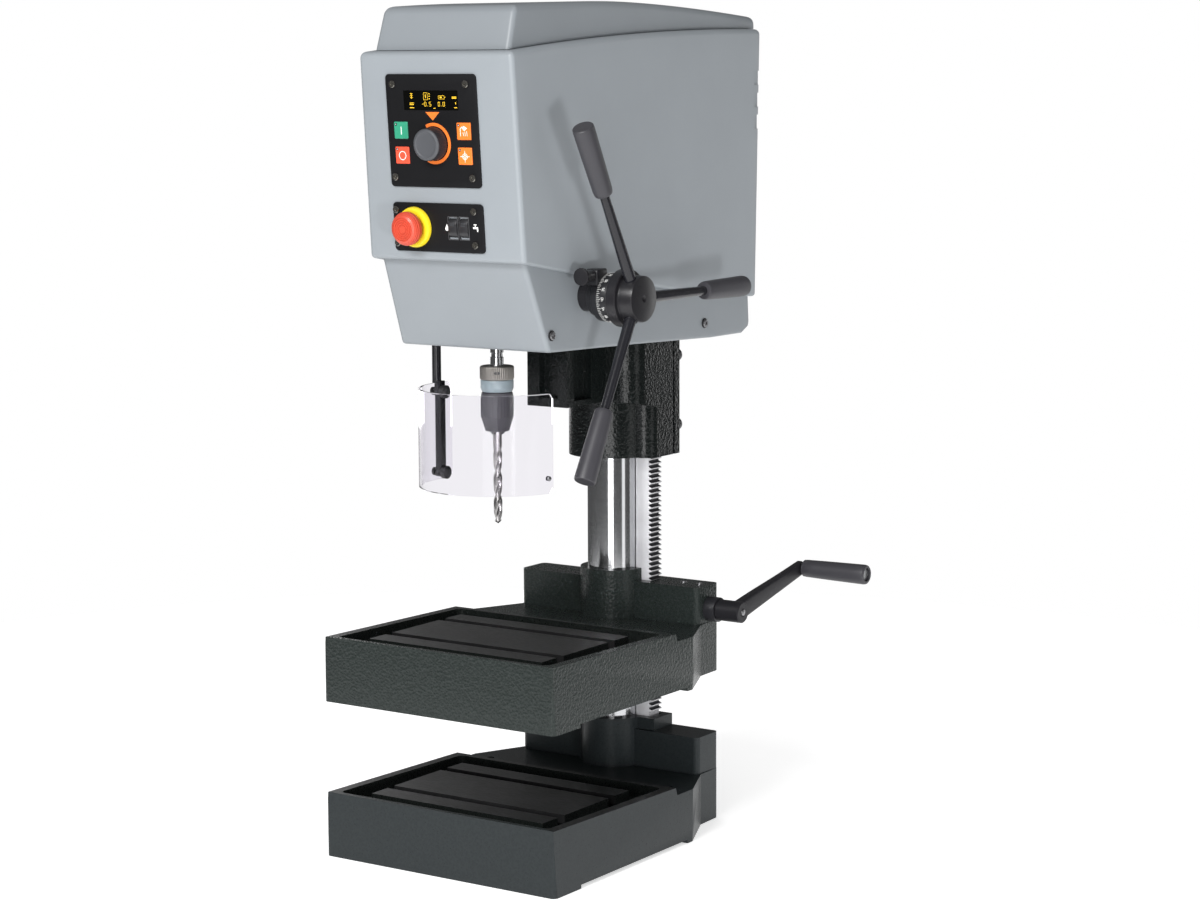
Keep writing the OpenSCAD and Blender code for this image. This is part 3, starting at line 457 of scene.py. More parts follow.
def digits(mesh, text, x, y, h, w, z0, z1, m, at=None):
    """Plain bar figures, centred on x, y."""
    step = h * 0.75
    x -= (len(text) - 1) * step / 2
    for ch in text:
        if ch == ".":
            mesh.prism(circle(w * 0.8, 8, x - step * 0.05, y - h / 2 + w / 2), z0, z1, m, at)
        a, b = h * 0.26, h / 2
        ends = {"a": ((-a, b), (a, b)), "b": ((a, b), (a, 0)), "c": ((a, 0), (a, -b)),
                "d": ((-a, -b), (a, -b)), "e": ((-a, 0), (-a, -b)), "f": ((-a, b), (-a, 0)),
                "g": ((-a, 0), (a, 0))}
        for s in SEGMENTS.get(ch, ""):
            p, q = ends[s]
            mesh.prism(stroke((x + p[0], y + p[1]), (x + q[0], y + q[1]), w), z0, z1, m, at)
        x += step


# ------------------------------------------------------------------ cover

def lid_seam(y):
    return 976 + 28 * (1 - (1 - (y + 355) / 545) ** 2)


def skirt_seam(y):
    return 661 + 72 * max(0.0, 1 - (y + 349.2) / 517) ** 1.25


def lid_top(y):
    return 1034.5 - 15 * (abs(y + 130) / 320) ** 1.7


END_N, SIDE_N, CORNER_N = 12, 30, 7    # points along an end, a side and a corner of the plan


def plan(hw, y0, y1, r):
    """Points of a rounded rectangle round x = 0, all with the same count: (x, y) in the column frame."""
    sides = (((r - hw, y0), (hw - r, y0), END_N), ((hw, y0 + r), (hw, y1 - r), SIDE_N),
             ((hw - r, y1), (r - hw, y1), END_N), ((-hw, y1 - r), (-hw, y0 + r), SIDE_N))
    corners = ((hw - r, y0 + r), (hw - r, y1 - r), (r - hw, y1 - r), (r - hw, y0 + r))
    out = []
    for q, (((ax, ay), (bx, by), n), (cx, cy)) in enumerate(zip(sides, corners)):
        out += [(ax + (bx - ax) * k / n, ay + (by - ay) * k / n) for k in range(n)]
        for k in range(CORNER_N):
            a = math.radians(90 * (q - 1) + 90 * k / CORNER_N)
            out.append((cx + r * math.cos(a), cy + r * math.sin(a)))
    return out


def ring(dims, low, high, v, inset=0.0, lift=0.0):
    """dims(z) gives half width, front, rear and corner radius at a height. A point's height lies at the
    share v between low(y) and high(y), plus lift. Height and plan depend on each other, so it repeats."""
    z = [(low(-100) + high(-100)) / 2] * (2 * (END_N + SIDE_N) + 4 * CORNER_N)
    for _ in range(4):
        cache = {}
        pts = []
        for k in range(len(z)):
            key = round(z[k], 3)
            if key not in cache:
                hw, y0, y1, r = dims(z[k])
                half = max(hw - inset, 0.0)
                cache[key] = plan(half, y0 + inset, y1 - inset, min(max(r - inset, 2.5), half))
            x, y = cache[key][k]
            pts.append((x, y))
            z[k] = low(y) + (high(y) - low(y)) * v + lift
    return [Vector((x, COL_Y + y, zz)) for (x, y), zz in zip(pts, z)]


FRONT_Y, FRONT_Z = -349.2, 733.5       # lower end of the hood's sloping front, from the column


def hood_dims(z):
    t = (z - FRONT_Z) / 241.5
    s = (z - 640) / 370
    return 114.0 - 3.4 * s, FRONT_Y - 19.3 * t, 166 + 15 * (z - 660) / 343, 6.0


def lid_dims(z):
    t = (z - 976) / 51
    return 98.5 - 3.6 * (z - 950) / 90, -355 + 16 * t, 190.0, 6.0


def skirt_dims(z):
    t = (z - 626) / 105.5
    return 110.5 - 6.5 * (z - 600) / 140, -296 - 41.6 * t, 158.5, 6.0


def skirt_low(y):
    if y < -106:
        return 626 - 5 * (y + 296) / 190
    if y < 60:
        return 621 - 5.5 * (y + 106) / 166
    base = 615.3
    if y > 143:
        base += 20 * ((y - 143) / 15.5) ** 2.2
    return base


def roll(R, n, up=True):
    """Inset and lift along a quarter round, from the wall to the top (or to the bottom)."""
    out = []
    for k in range(1, n + 1):
        a = math.pi / 2 * k / n
        out.append((R * (1 - math.cos(a)), -R * (1 - math.sin(a)) if up else R * (1 - math.sin(a))))
    return out


def make_hood():
    def wall(v, inset, lift):
        return ring(hood_dims, skirt_seam, lid_seam, v, inset, lift)

    rows = [wall(0, d, l) for d, l in [(9.6, 3.4), (9.6, 0.3), (8.6, 0.0)] + roll(4.5, 4, False)[::-1]]
    for k in range(13):
        rows.append(ring(hood_dims, lambda y: skirt_seam(y) + 4.5, lambda y: lid_seam(y) - 7.5, k / 12))
    rows += [wall(1, d, l) for d, l in roll(7.5, 6) + [(17, 0), (24, 0), (24, -4), (11, -4), (4, -12)]]
    rows += [wall(0.7, 4, 0), wall(0.4, 4, 0), wall(0.1, 4, 0), wall(0, 4.6, 3.4)]
    t = Mesh()
    t.rings(rows, M["cover"], loop=True)
    o = t.piece("cover_hood", smooth=40)
    # three shallow recesses across the rear, each cut as one U round both sides
    bands = []
    for z in (877, 905, 933):
        y0 = COL_Y + 163
        y1 = COL_Y + 163.5 + 15 * (z - 651) / 343
        u = [(-109, y0), (-109, y1), (109, y1), (109, y0), (124, y0), (124, y1 + 20), (-124, y1 + 20), (-124, y0)]
        bands.append((u, z, z + 18))
    cut(o, bands)
    settle(o, 40)
    return o


def make_lid():
    def low(y):
        return lid_seam(y) + 0.3

    rows = [ring(lid_dims, low, lid_top, 0, d, l) for d, l in ((5, 0), (1.2, 0), (0.3, 0.35), (0, 1.3))]
    for k in range(1, 6):
        rows.append(ring(lid_dims, lambda y: low(y) + 1.3, lambda y: lid_top(y) - 9, k / 5))
    for d, l in roll(9, 7) + [(inset, 0) for inset in (16, 26, 38, 52, 66, 80, 90, 97)]:
        rows.append(ring(lid_dims, low, lid_top, 1, d, l))
    t = Mesh()
    t.rings(rows, M["cover_lid"], caps=False)
    t.piece("cover_lid", smooth=40, merge=0.05)


def make_skirt():
    def high(y):
        return skirt_seam(y) + 3.2

    rows = [ring(skirt_dims, skirt_low, high, 0, d, l) for d, l in [(4, 1.5)] + roll(3.5, 4, False)[::-1]]
    for k in range(9):
        rows.append(ring(skirt_dims, lambda y: skirt_low(y) + 3.5, high, k / 8))
    rows += [ring(skirt_dims, skirt_low, high, v, 4, 0) for v in (1, 0.66, 0.33)]
    t = Mesh()
    t.rings(rows, M["cover_skirt"], loop=True)
    t.piece("cover_skirt", smooth=40)


make_hood()
make_lid()
make_skirt()


# ------------------------------------------------------------------ controls

TILT = math.atan((368.5 + FRONT_Y) / (975 - FRONT_Z))
PANEL_X, PANEL_Z, SWITCH_Z = -6, 884, 771.8    # middles of the two plates


def face_matrix(x, z, off=0.0):
    """Local millimetres on the hood's sloping front: X right, Y up the face, Z out of it."""
    y = COL_Y + FRONT_Y - (z - FRONT_Z) * math.tan(TILT)
    right = Vector((1, 0, 0))
    up = Vector((0, -math.sin(TILT), math.cos(TILT)))
    out = Vector((0, -math.cos(TILT), -math.sin(TILT)))
    m = Matrix((right, up, out)).transposed().to_4x4()
    m.translation = Vector((x, y, z)) + out * off
    return m


PANEL = face_matrix(PANEL_X, PANEL_Z, 0.2)
SWITCH = face_matrix(PANEL_X, SWITCH_Z, 0.2)
KEYS = [(-46, 0.5), (-46, -28.5), (45, 0), (45, -28.5)]
BOLTS = [(-55, 54), (51, 54), (-58, -54), (54, -54)]
SWITCH_BOLTS = [(-60.5, 20), (52.5, 20), (-60.5, -19), (52.5, -19)]
DIAL = (1, -14.5)
ROCKERS = (("light_rocker", 21.4), ("coolant_rocker", 37.4))


def ring_mark(t, r0, r1, z0, z1, m, x=0.0, y=0.0, segs=64, a0=0.0, a1=360.0):
    n = max(6, int(segs * (a1 - a0) / 360))
    full = a1 - a0 >= 360
    cols = []
    for k in range(n if full else n + 1):
        a = math.radians(a0 + (a1 - a0) * k / n)
        c, s = math.cos(a), math.sin(a)
        cols.append([Vector((x + r * c, y + r * s, z)) for r, z in ((r0, z0), (r1, z0), (r1, z1), (r0, z1))])
    t.rings(cols, m, loop=full, caps=not full)


def plate_with_holes(node, w, h, at, wells):
    """A black plate with a soft edge and a hole for each control and screw."""
    t = Mesh()
    t.prism(rounded(-w / 2, w / 2, -h / 2, h / 2, 5, 8), 0, 2.0, M["panel"])
    o = t.piece(node, at, width=0.5, segs=3)
    cut(o, [(pts, -3, 5) for pts in wells], at)
    settle(o)
    return o


def square(x, y, a, b, r=1.0, n=3):
    return rounded(x - a, x + a, y - b, y + b, r, n)


plate_with_holes("display_panel", 131, 131, PANEL,
                 [square(x, y, 10.2, 10.2, 0.9) for x, y in KEYS] + [square(-0.5, 35.3, 39.4, 11.5, 0.6)] +
                 [circle(5.2, 24, *DIAL)] + [circle(2.1, 16, *p) for p in BOLTS])
plate_with_holes("switch_panel", 131, 57.4, SWITCH,
                 [circle(11.2, 32, -34, 0)] + [square(x, 0, 6.6, 13, 0.6) for _, x in ROCKERS] +
                 [circle(2.1, 16, *p) for p in SWITCH_BOLTS])


def make_marks():
    """Printed marks on the upper plate: the ring and pointer round the speed knob."""
    t = Mesh()
    x, y = DIAL
    ring_mark(t, 20.2, 24.0, 1.98, 2.09, M["orange"], x, y, 96, -118, 118)
    t.prism([(x - 10, y + 36.3), (x, y + 26.6), (x + 10, y + 36.3)][::-1], 1.98, 2.09, M["orange"])
    t.done("dial_marks", "stand", "display_panel", (), PANEL)


def make_window():
    t = Mesh()
    cx, cy = -0.5, 35.3
    t.prism(rounded(cx - 39.2, cx + 39.2, cy - 11.3, cy + 11.3, 0.5, 3), 0.2, 1.7, M["window"])
    z0, z1 = 1.69, 1.76
    a = M["amber"]
    for k, text in enumerate(("-0.5", "0.0")):
        digits(t, text, cx - 6.5 + 21.5 * k, cy - 4.4, 4.6, 0.46, z0, z1, a)

    def line(x0, y0, x1, y1, w=0.36):
        t.prism(stroke((cx + x0, cy + y0), (cx + x1, cy + y1), w), z0, z1, a)

    def box(x, y, hw, hh):
        for p, q in (((-1, -1), (1, -1)), ((1, -1), (1, 1)), ((1, 1), (-1, 1)), ((-1, 1), (-1, -1))):
            line(x + p[0] * hw, y + p[1] * hh, x + q[0] * hw, y + q[1] * hh)
    # small generic symbols: spindle, workpiece with a drill, battery, bars
    line(-28, 8.4, -28, 1.6, 0.7)
    for y in (7.6, 5.4, 3.2):
        line(-30, y, -26, y)
    for y in (-3.2, -5.0, -8.6):
        line(-31, y, -25, y, 0.8)
    box(-7.5, 4.6, 2.8, 4.0)
    line(-7.5, 6.8, -7.5, 2.6, 0.7)
    for y in (7.4, 4.6, 1.8):
        line(-2.8, y, -1.2, y, 0.9)
    box(15.4, 3.4, 4.2, 1.9)
    line(13.2, 3.4, 16, 3.4, 1.6)
    line(20.4, 3.4, 21.0, 3.4, 1.4)
    for y in (2.4, 3.8):
        line(30.5, y, 37, y, 0.8)
    line(35.6, -2.0, 35.6, -4.4, 0.8)
    line(33.4, -8.4, 37.4, -8.4, 0.8)
    line(3.2, -9.2, 6.4, -9.2, 0.6)
    t.piece("display_window", PANEL)


def key_icon(t, kind, m):
    z0, z1 = 6.02, 6.16
    if kind == 0:
        t.prism(square(0.6, -0.4, 0.55, 4.6, 0.3, 2), z0, z1, m)
    elif kind == 1:
        ring_mark(t, 4.4, 5.3, z0, z1, m, 0.4, -0.4, 48)
    elif kind == 2:
        # lamp: a shade on a bent stem, with rays
        t.prism(stroke((-4.6, -5.6), (-4.6, 3.0), 0.8), z0, z1, m)
        t.prism(stroke((-4.6, 3.0), (-1.4, 5.6), 0.8), z0, z1, m)
        t.prism([(-2.4, 3.4), (0.4, 6.2), (5.2, 3.6), (1.2, 0.4)], z0, z1, m)
        for x in (-1.0, 1.6, 4.2):
            t.prism(stroke((x, -0.8 + 0.3 * x), (x + 0.9, -5.4), 0.6), z0, z1, m)
    else:
        # spindle: a ring with four small arrows
        ring_mark(t, 3.0, 3.7, z0, z1, m, 0, -0.4, 32)
        for k in range(4):
            a = math.pi / 2 * k
            c, s = math.cos(a), math.sin(a)
            for pts in ([(1.0, -1.3), (3.0, 0), (1.0, 1.3)],
                        [(3.6, -0.35), (6.6, -0.35), (6.6, 0.35), (3.6, 0.35)]):
                t.prism([(x * c - y * s, x * s + y * c - 0.4) for x, y in pts], z0, z1, m)


def make_keys():
    data = (("start_button", "green", 0), ("stop_button", "red", 1), ("light_button", "orange", 2),
            ("coolant_button", "orange", 3))
    for (node, col, kind), (x, y) in zip(data, KEYS):
        t = Mesh()
        at = face_matrix(PANEL_X + x, PANEL_Z + y, -3.0)
        t.prism(square(0, 0, 3, 3, 0.4, 2), -4, 0.2, M[col])
        t.prism(square(0, 0, 7.9, 7.9, 0.9, 3), 0, 1.2, M[col])
        rows = []
        for w, h in ((9.6, 1.0), (9.9, 1.3), (9.9, 5.5), (9.6, 6.0), (9.1, 6.17), (8.3, 6.1), (4.0, 6.04),
                     (0.4, 6.03)):
            rows.append([Vector((px, py, h)) for px, py in square(0, 0, w, w, min(1.1, w * 0.3), 4)])
        t.rings(rows, M[col])
        t.piece(node, at, smooth=40)
        s = Mesh()
        key_icon(s, kind, M["white"])
        s.prism(square(-6.9, 6.9, 1.5, 1.5, 0.3, 2), 6.02, 6.14, M["black"])
        s.prism(square(-6.9, 6.9, 0.5, 0.5, 0.1, 2), 6.1, 6.17, M["white"])
        s.done(node + "_symbol", node, node, (), at)


def make_speed_knob():
    at = face_matrix(-5, 869.5, 3.0)
    prof = [(4.9, -12), (4.9, 0.0), (17.5, 0.0), (19.3, 0.5), (19.45, 1.2), (19.0, 12.9), (18.4, 14.6),
            (17.4, 15.8), (16.2, 16.42), (14.6, 16.45), (13.9, 16.0), (13.0, 15.85), (0.6, 15.8)]

    def ribs(a, r, z):
        if r < 18.3 or z < 1.0 or z > 13.2:
            return 0.0
        return -0.28 + 0.28 * math.cos(48 * a)
    o = turned("speed_knob", "knob_side", 192, prof, at=at, wave=ribs, smooth=28)
    o.data.materials.append(M["knob"])
    back = at.inverted()
    for p in o.data.polygons:
        if (back @ (p.center * 1000)).z > 15.0:
            p.material_index = 1


def make_estop():
    at = face_matrix(-40, SWITCH_Z, 2.4)
    turned("estop_collar", "stop_yellow", 96,
           [(7.1, -20), (11, -20), (11, 0), (23.4, 0), (23.95, 0.4), (23.9, 1.6), (23.1, 4.6), (22.4, 5.6),
            (21.2, 6.0), (16.5, 6.0), (15.8, 5.6), (15.4, 3.4), (7.1, 3.4), (7.1, -20)], at=at)
    prof = [(7.0, -16), (7.0, 8.8), (14.6, 8.8), (15.0, 9.2), (15.0, 10.6), (18.6, 12.0), (19.5, 12.4),
            (19.75, 13.0), (19.9, 17.8), (19.5, 18.3), (19.05, 18.45), (19.05, 20.4), (18.7, 20.8), (18.1, 20.95),
            (18.1, 22.0), (17.6, 22.5), (16.9, 22.7), (16.6, 23.4), (15.9, 24.0), (14.6, 24.35)]
    for r in (13.2, 10.6, 8.0, 5.4):
        prof += [(r + 0.7, 24.8), (r + 0.3, 23.9), (r - 0.4, 23.9), (r - 0.8, 24.8)]
    prof.append((0.4, 24.8))
    turned("estop_button", "stop_red", 160, prof, at=at, smooth=26)


def make_rockers():
    rock_r = 14.4
    for node, x in ROCKERS:
        at = face_matrix(PANEL_X + x, SWITCH_Z, -6.0)
        dip = []
        for k in range(13):
            a = math.radians(-54 + 9 * k)
            y = rock_r * math.sin(a)
            dip.append((y, -3 + rock_r * math.cos(a) - 1.5 * math.exp(-(y / 3.2) ** 2)))
        outline = [(-11.65, 0.2)] + dip + [(11.65, 0.2)]
        t = Mesh()
        t.rings([[Vector((side, y, z)) for y, z in outline] for side in (-5.9, 5.9)], M["black"])
        t.piece(node, at, width=0.35, smooth=30)
        s = Mesh()
        for k in range(3):
            y = 6.2 - 1.5 * k
            z = -3 + math.sqrt(rock_r ** 2 - y ** 2)
            s.prism(square(0, y, 3.4, 0.22, 0.1, 1), z - 0.55, z - 0.02, M["knob"])
        s.done(node + "_ridges", node, node, (), at)
    t = Mesh()
    for _, x in ROCKERS:
        t.prism(square(x, 0, 7.3, 13.8, 0.8, 2), 1.98, 2.35, M["rim"])
    o = t.done("rocker_frames", "stand", "switch_panel", (), SWITCH)
    cut(o, [(square(x, 0, 6.5, 12.9, 0.5, 2), 1, 4) for _, x in ROCKERS], SWITCH)
    settle(o)
    # symbols beside the rockers: a lamp and a coolant tap
    s = Mesh()
    z0, z1 = 1.98, 2.08
    x, y = 12.4, 0.5
    drop = [(x + 2.6 * math.cos(a), y - 1.2 + 2.6 * math.sin(a)) for a in
            [math.radians(150 + 240 * k / 12) for k in range(13)]] + [(x, y + 4.4)]
    s.prism(drop, z0, z1, M["white"])
    x = 53.6
    s.prism(square(x, y + 0.6, 3.6, 1.1, 0.3, 2), z0, z1, M["white"])
    s.prism(square(x - 0.4, y + 3.0, 0.7, 1.6, 0.2, 1), z0, z1, M["white"])
    s.prism(square(x - 0.4, y + 4.4, 2.2, 0.55, 0.2, 1), z0, z1, M["white"])
    s.prism(square(x + 2.8, y - 1.8, 0.9, 1.8, 0.2, 1), z0, z1, M["white"])
    s.done("switch_symbols", "stand", "switch_panel", (), SWITCH)


def screw_head(t, at, r, h, hexr, m, shank, shank_r):
    """A round head with a hexagon socket, and its shank below."""
    def row(n, z, radius):
        out = []
        for k in range(n):
            a = 2 * math.pi * k / n
            out.append(at @ Vector((radius(a) * math.cos(a), radius(a) * math.sin(a), z)))
        return out

    def hexagon(a):
        return hexr * math.cos(math.pi / 6) / math.cos(a % (math.pi / 3) - math.pi / 6)

    t.lathe([(r * 0.96, 0), (r, 0.12 * h), (r, 0.66 * h), (r * 0.82, h), (hexr * 1.25, h)], m, 32, at, cap=False)
    rows = [row(24, h, lambda a: hexr * 1.25), row(24, h, hexagon), row(24, h * 0.4, hexagon)]
    t.rings(rows, m, caps=False)
    t.faces(rows[-1], [list(range(24))], m)
    t.faces(row(32, 0, lambda a: r * 0.96), [list(range(32))[::-1]], m)
    t.lathe([(shank_r, -shank), (shank_r, 0.05)], m, 24, at)


def make_screws():
    t = Mesh()
    for plate, bolts in ((PANEL, BOLTS), (SWITCH, SWITCH_BOLTS)):
        for x, y in bolts:
            screw_head(t, plate @ shift(x, y, 2.1), 4.3, 2.35, 2.0, M["blackscrew"], 6.3, 1.9)
    t.piece("panel_screws", merge=0.001)
    t = Mesh()
    washer = [(5.05, 0.0), (6.3, 0.0), (6.3, 0.55), (6.0, 0.8), (5.05, 0.8), (5.05, 0.0)]
    for s in (-1, 1):
        for y, z in ((-291, 646), (46, 635)):
            at = shift(s * 109.3, COL_Y + y, z) @ spin(90 * s, "Y")
            screw_head(t, at, 5.0, 2.6, 2.3, M["zinc"], 15.9, 2.95)
            t.lathe(washer, M["hub"], 48, at)
    t.piece("cover_screws", merge=0.001)


make_marks()
make_window()
make_keys()
make_speed_knob()
make_estop()
make_rockers()
make_screws()


# ------------------------------------------------------------------ castings

TABLE_Z = 193          # underside of the table at rest; the base stands at 0


def is_machined(z0):
    """The raised plate's top, its edges and the floors of its two T-slots."""
    top = z0 + 76
    return lambda c, n: (abs(c.x) < 128.6 and -173 < c.y < 13 and c.z > top - 21 and c.z < top + 1
                         and (n.z > 0.7 and c.z > top - 1.5 or abs(n.z) < 0.5 and c.z > top - 1.5
                              or (-142.5 < c.y < -125 or -34.5 < c.y < -17) and c.z < top - 0.5))


def in_tray(z0):
    return lambda c, n: (abs(c.x) < 157 and -202 < c.y < 48 and z0 + 50 < c.z < z0 + 77)


for casting, look, low_z in (("base_casting", "base", 0), ("table_casting", "table", TABLE_Z)):
    refine(casting, M[look], 2.2, 3, 30, 16,
           zones=[(in_tray(low_z), M["tray"]), (is_machined(low_z), M["plate"])])
refine("head_casting", M["head"], 2.6, 3, 30)


turned("column", "column", 160, [(31.4, 12), (32.5, 13), (32.5, 749), (31.4, 750)], shift(0, COL_Y, 0))
# painted shade: the rack's tooth gaps get the dark black-steel material, while the tooth tips keep the bright
# rack steel
refine("rack", M["rack"], 0.35, 1, 20,
       zones=[(lambda c, n: 50 < c.x < 56.3 and c.z > 130 and abs(n.y) < 0.5, M["dark"])])
for part, look, *edge in (
        ("lift_gear", "gear", 0.2, 1, 30), ("gear_pin", "steel_x", 0.5), ("worm_shaft", "gear", 0.0),
        ("crank_bush", "dark", 0.8, 3), ("bush_screws", "zinc", 0.5), ("head_clamp_screws", "dark", 0.8, 3),
        ("cable_gland", "black", 0.8, 3), ("control_board", "board", 0.2, 1)):
    refine(part, M[look], *edge)

# ------------------------------------------------------------------ crank


def on_axis_x(x, y, z):
    """Local Z runs along +X."""
    return shift(x, y, z) @ spin(90, "Y")


CRANK = shift(151.6, 185, 276) @ spin(12, "X")
ARM, BOSS_R, END_R = 160, 11.9, 8.9    # length between centres, radius at the shaft and at the handle


def make_crank():
    t = Mesh()
    rows = []
    for k in range(25):
        y = -BOSS_R + k / 24 * (ARM + BOSS_R + END_R)
        # dog-leg: the arm steps out towards the handle between its two bosses
        e = min(1.0, max(0.0, (y - 14) / 120))
        x0 = 18.1 + 3.0 * (e * e * (3 - 2 * e))
        if y < 0:
            half = math.sqrt(max(0.0, BOSS_R ** 2 - y * y))
        elif y > ARM:
            half = math.sqrt(max(0.0, END_R ** 2 - (y - ARM) ** 2))
        else:
            half = BOSS_R - 3.0 * (y / ARM)
        half = max(half, 1.2)
        section = rounded(x0, 31.8, -half, half, min(3.2, half * 0.8), 5)
        rows.append([Vector((x, y, z)) for x, z in section])
    t.rings(rows, M["arm"])
    t.lathe([(7.2, 0.2), (12.6, 0.2), (13.5, 1.2), (13.5, 33.6), (12.2, 34.9), (5.2, 34.9), (4.8, 34.4),
             (4.4, 33.6)], M["arm"], 64, spin(90, "Y"))
    t.piece("crank_arm", CRANK, smooth=38)
    at = CRANK @ on_axis_x(0, ARM, 0)
    turned("crank_handle", "grip", 96,
           [(5.06, 33.6), (10.2, 33.6), (10.9, 34.2), (10.9, 36.6), (11.2, 37.2), (11.6, 52), (12.2, 80),
            (12.7, 112), (12.8, 121.5), (12.3, 124.2), (11.0, 125.4), (8.65, 125.5), (8.65, 120.6), (5.06, 120.6),
            (5.06, 33.6)], at=at)
    turned("crank_pin", "steel_x", 48,
           [(4.98, 21.1), (4.98, 121), (7.9, 121), (7.95, 122.6), (7.4, 122.95), (0.4, 122.9)], at=at)


make_crank()
refine("crank_screw", M["zinc"], 0.4)

# ------------------------------------------------------------------ spindle, chuck and drill

SPINDLE = shift(0, SP_Y, 0)


def make_chuck():
    turned("spindle", "column", 64,
           [(8.1, 600.2), (8.1, 611.6), (6.9, 612.4), (6.9, 616.6), (8.1, 617.4), (8.1, 637.2), (11.9, 637.6),
            (11.9, 851.6), (7.9, 852.2), (7.9, 984), (7.2, 984.9)], SPINDLE)

    def knurl(a, r, z):
        return -0.5 * (0.5 - 0.5 * math.cos(54 * a)) if r >= 20.2 else 0.0
    turned("chuck_body", "knurl", 324,
           [(8.3, 588.2), (8.3, 600.9), (9.0, 601.45), (18.6, 601.45), (20.0, 600.9), (20.55, 600.0),
            (20.68, 599.0), (20.68, 587.0), (20.3, 585.6), (19.6, 585.1), (11.98, 585.05), (11.98, 557.1),
            (9.0, 557.1)], SPINDLE, wave=knurl, smooth=40)
    # painted shade: a black patch in the knurled ring stands in for the dark hollow of the key slot
    t = Mesh()
    at = shift(0, SP_Y, 594) @ spin(36, "Z") @ spin(90, "X")
    t.prism(rounded(-3.6, 3.6, -1.6, 1.6, 1.5, 5), 18.4, 20.55, M["black"], at)
    t.done("chuck_slot", "spindle", "chuck_body")
    turned("chuck_collar", "ring", 96,
           [(12.08, 570.35), (17.6, 570.35), (18.1, 570.5), (19.8, 574.6), (19.98, 575.4), (19.98, 583.6),
            (19.5, 584.75), (12.08, 584.78), (12.08, 570.35)], SPINDLE)

    def flutes(a, r, z):
        return -0.55 * (0.5 + 0.5 * math.cos(30 * a)) ** 3 if r >= 19.4 and 541 < z < 561 else 0.0
    turned("chuck_sleeve", "sleeve", 240,
           [(10.05, 522.7), (13.4, 522.6), (14.5, 523.1), (16.9, 531), (19.0, 537.9), (19.85, 539.4),
            (19.97, 541.5), (19.97, 560.8), (19.9, 563.4), (18.6, 569.1), (18.0, 569.45), (12.15, 569.45),
            (12.15, 556.1), (10.05, 556.1), (10.05, 522.7)], SPINDLE, wave=flutes, smooth=40)
    t = Mesh()
    for k in range(3):
        at = shift(0, SP_Y, 518.6) @ spin(120 * k + 20, "Z")
        rows = []
        for z, x1 in ((0, 1.6), (1.2, 3.0), (3.5, 3.95), (35.8, 3.95)):
            section = ((5.35, -1.4), (5.3 + x1, -2.5), (5.3 + x1, 2.5), (5.35, 1.4))
            rows.append([at @ Vector((x, y, z)) for x, y in section])
        t.rings(rows, M["jaw"])
    t.piece("chuck_jaws", width=0.25)


def make_drill():
    """Two helical flutes with margins, on a plain shank, down to the point."""
    t = Mesh()
    radius, n, steps = 5.28, 64, 190
    half_flute = 0.92    # radians either side of a flute's middle
    z_top, z_low = 553, 409.6
    rows = []
    for k in range(steps + 1):
        z = z_top - (z_top - z_low) * k / steps
        fluted = min(1.0, max(0.0, (503 - z) / 9.0))
        tip = min(1.0, max(0.012, (z - z_low) / 3.1 + 0.02))
        helix = math.radians((z - z_low) * 6.2)
        row = []
        for j in range(n):
            a = 2 * math.pi * j / n
            offs = [(a - c + math.pi) % (2 * math.pi) - math.pi for c in (0, math.pi)]
            d = max([math.cos(b / half_flute * math.pi / 2) ** 0.7 for b in offs if abs(b) < half_flute],
                    default=0.0)
            r = radius * (1 - 0.62 * d * fluted)
            # behind the margin the land is relieved
            if fluted > 0.5 and d == 0.0 and min(abs(b - half_flute) for b in offs) > 0.22:
                r -= 0.16
            r *= tip
            row.append(Vector((r * math.cos(a + helix), SP_Y + r * math.sin(a + helix), z)))
        rows.append(row)
    t.rings(rows, M["drill"])
    t.piece("drill_bit", smooth=32)


make_chuck()
make_drill()
for part, look, *edge in (
        ("quill", "column", 0.4, 2), ("quill_bearings", "steel", 0.5), ("spindle_pulley", "alu", 0.5),
        ("pulley_bearing", "steel", 0.5), ("motor_pulley", "alu", 0.5), ("motor_shaft", "steel", 0.5),
        ("motor_housing", "motor", 0.8), ("drive_belt", "rubber", 0.4), ("feed_shaft", "steel_x", 0.2, 1),
        ("spring_case", "motor", 0.6), ("return_spring", "spring", 0.0)):
    refine(part, M[look], *edge)

# ------------------------------------------------------------------ feed

HUB = on_axis_x(0, *FEED)


def cone(x):
    """Radius of the scale ring's outside at x."""
    return 28.62 + 1.28 * (x - 134) / 20.2


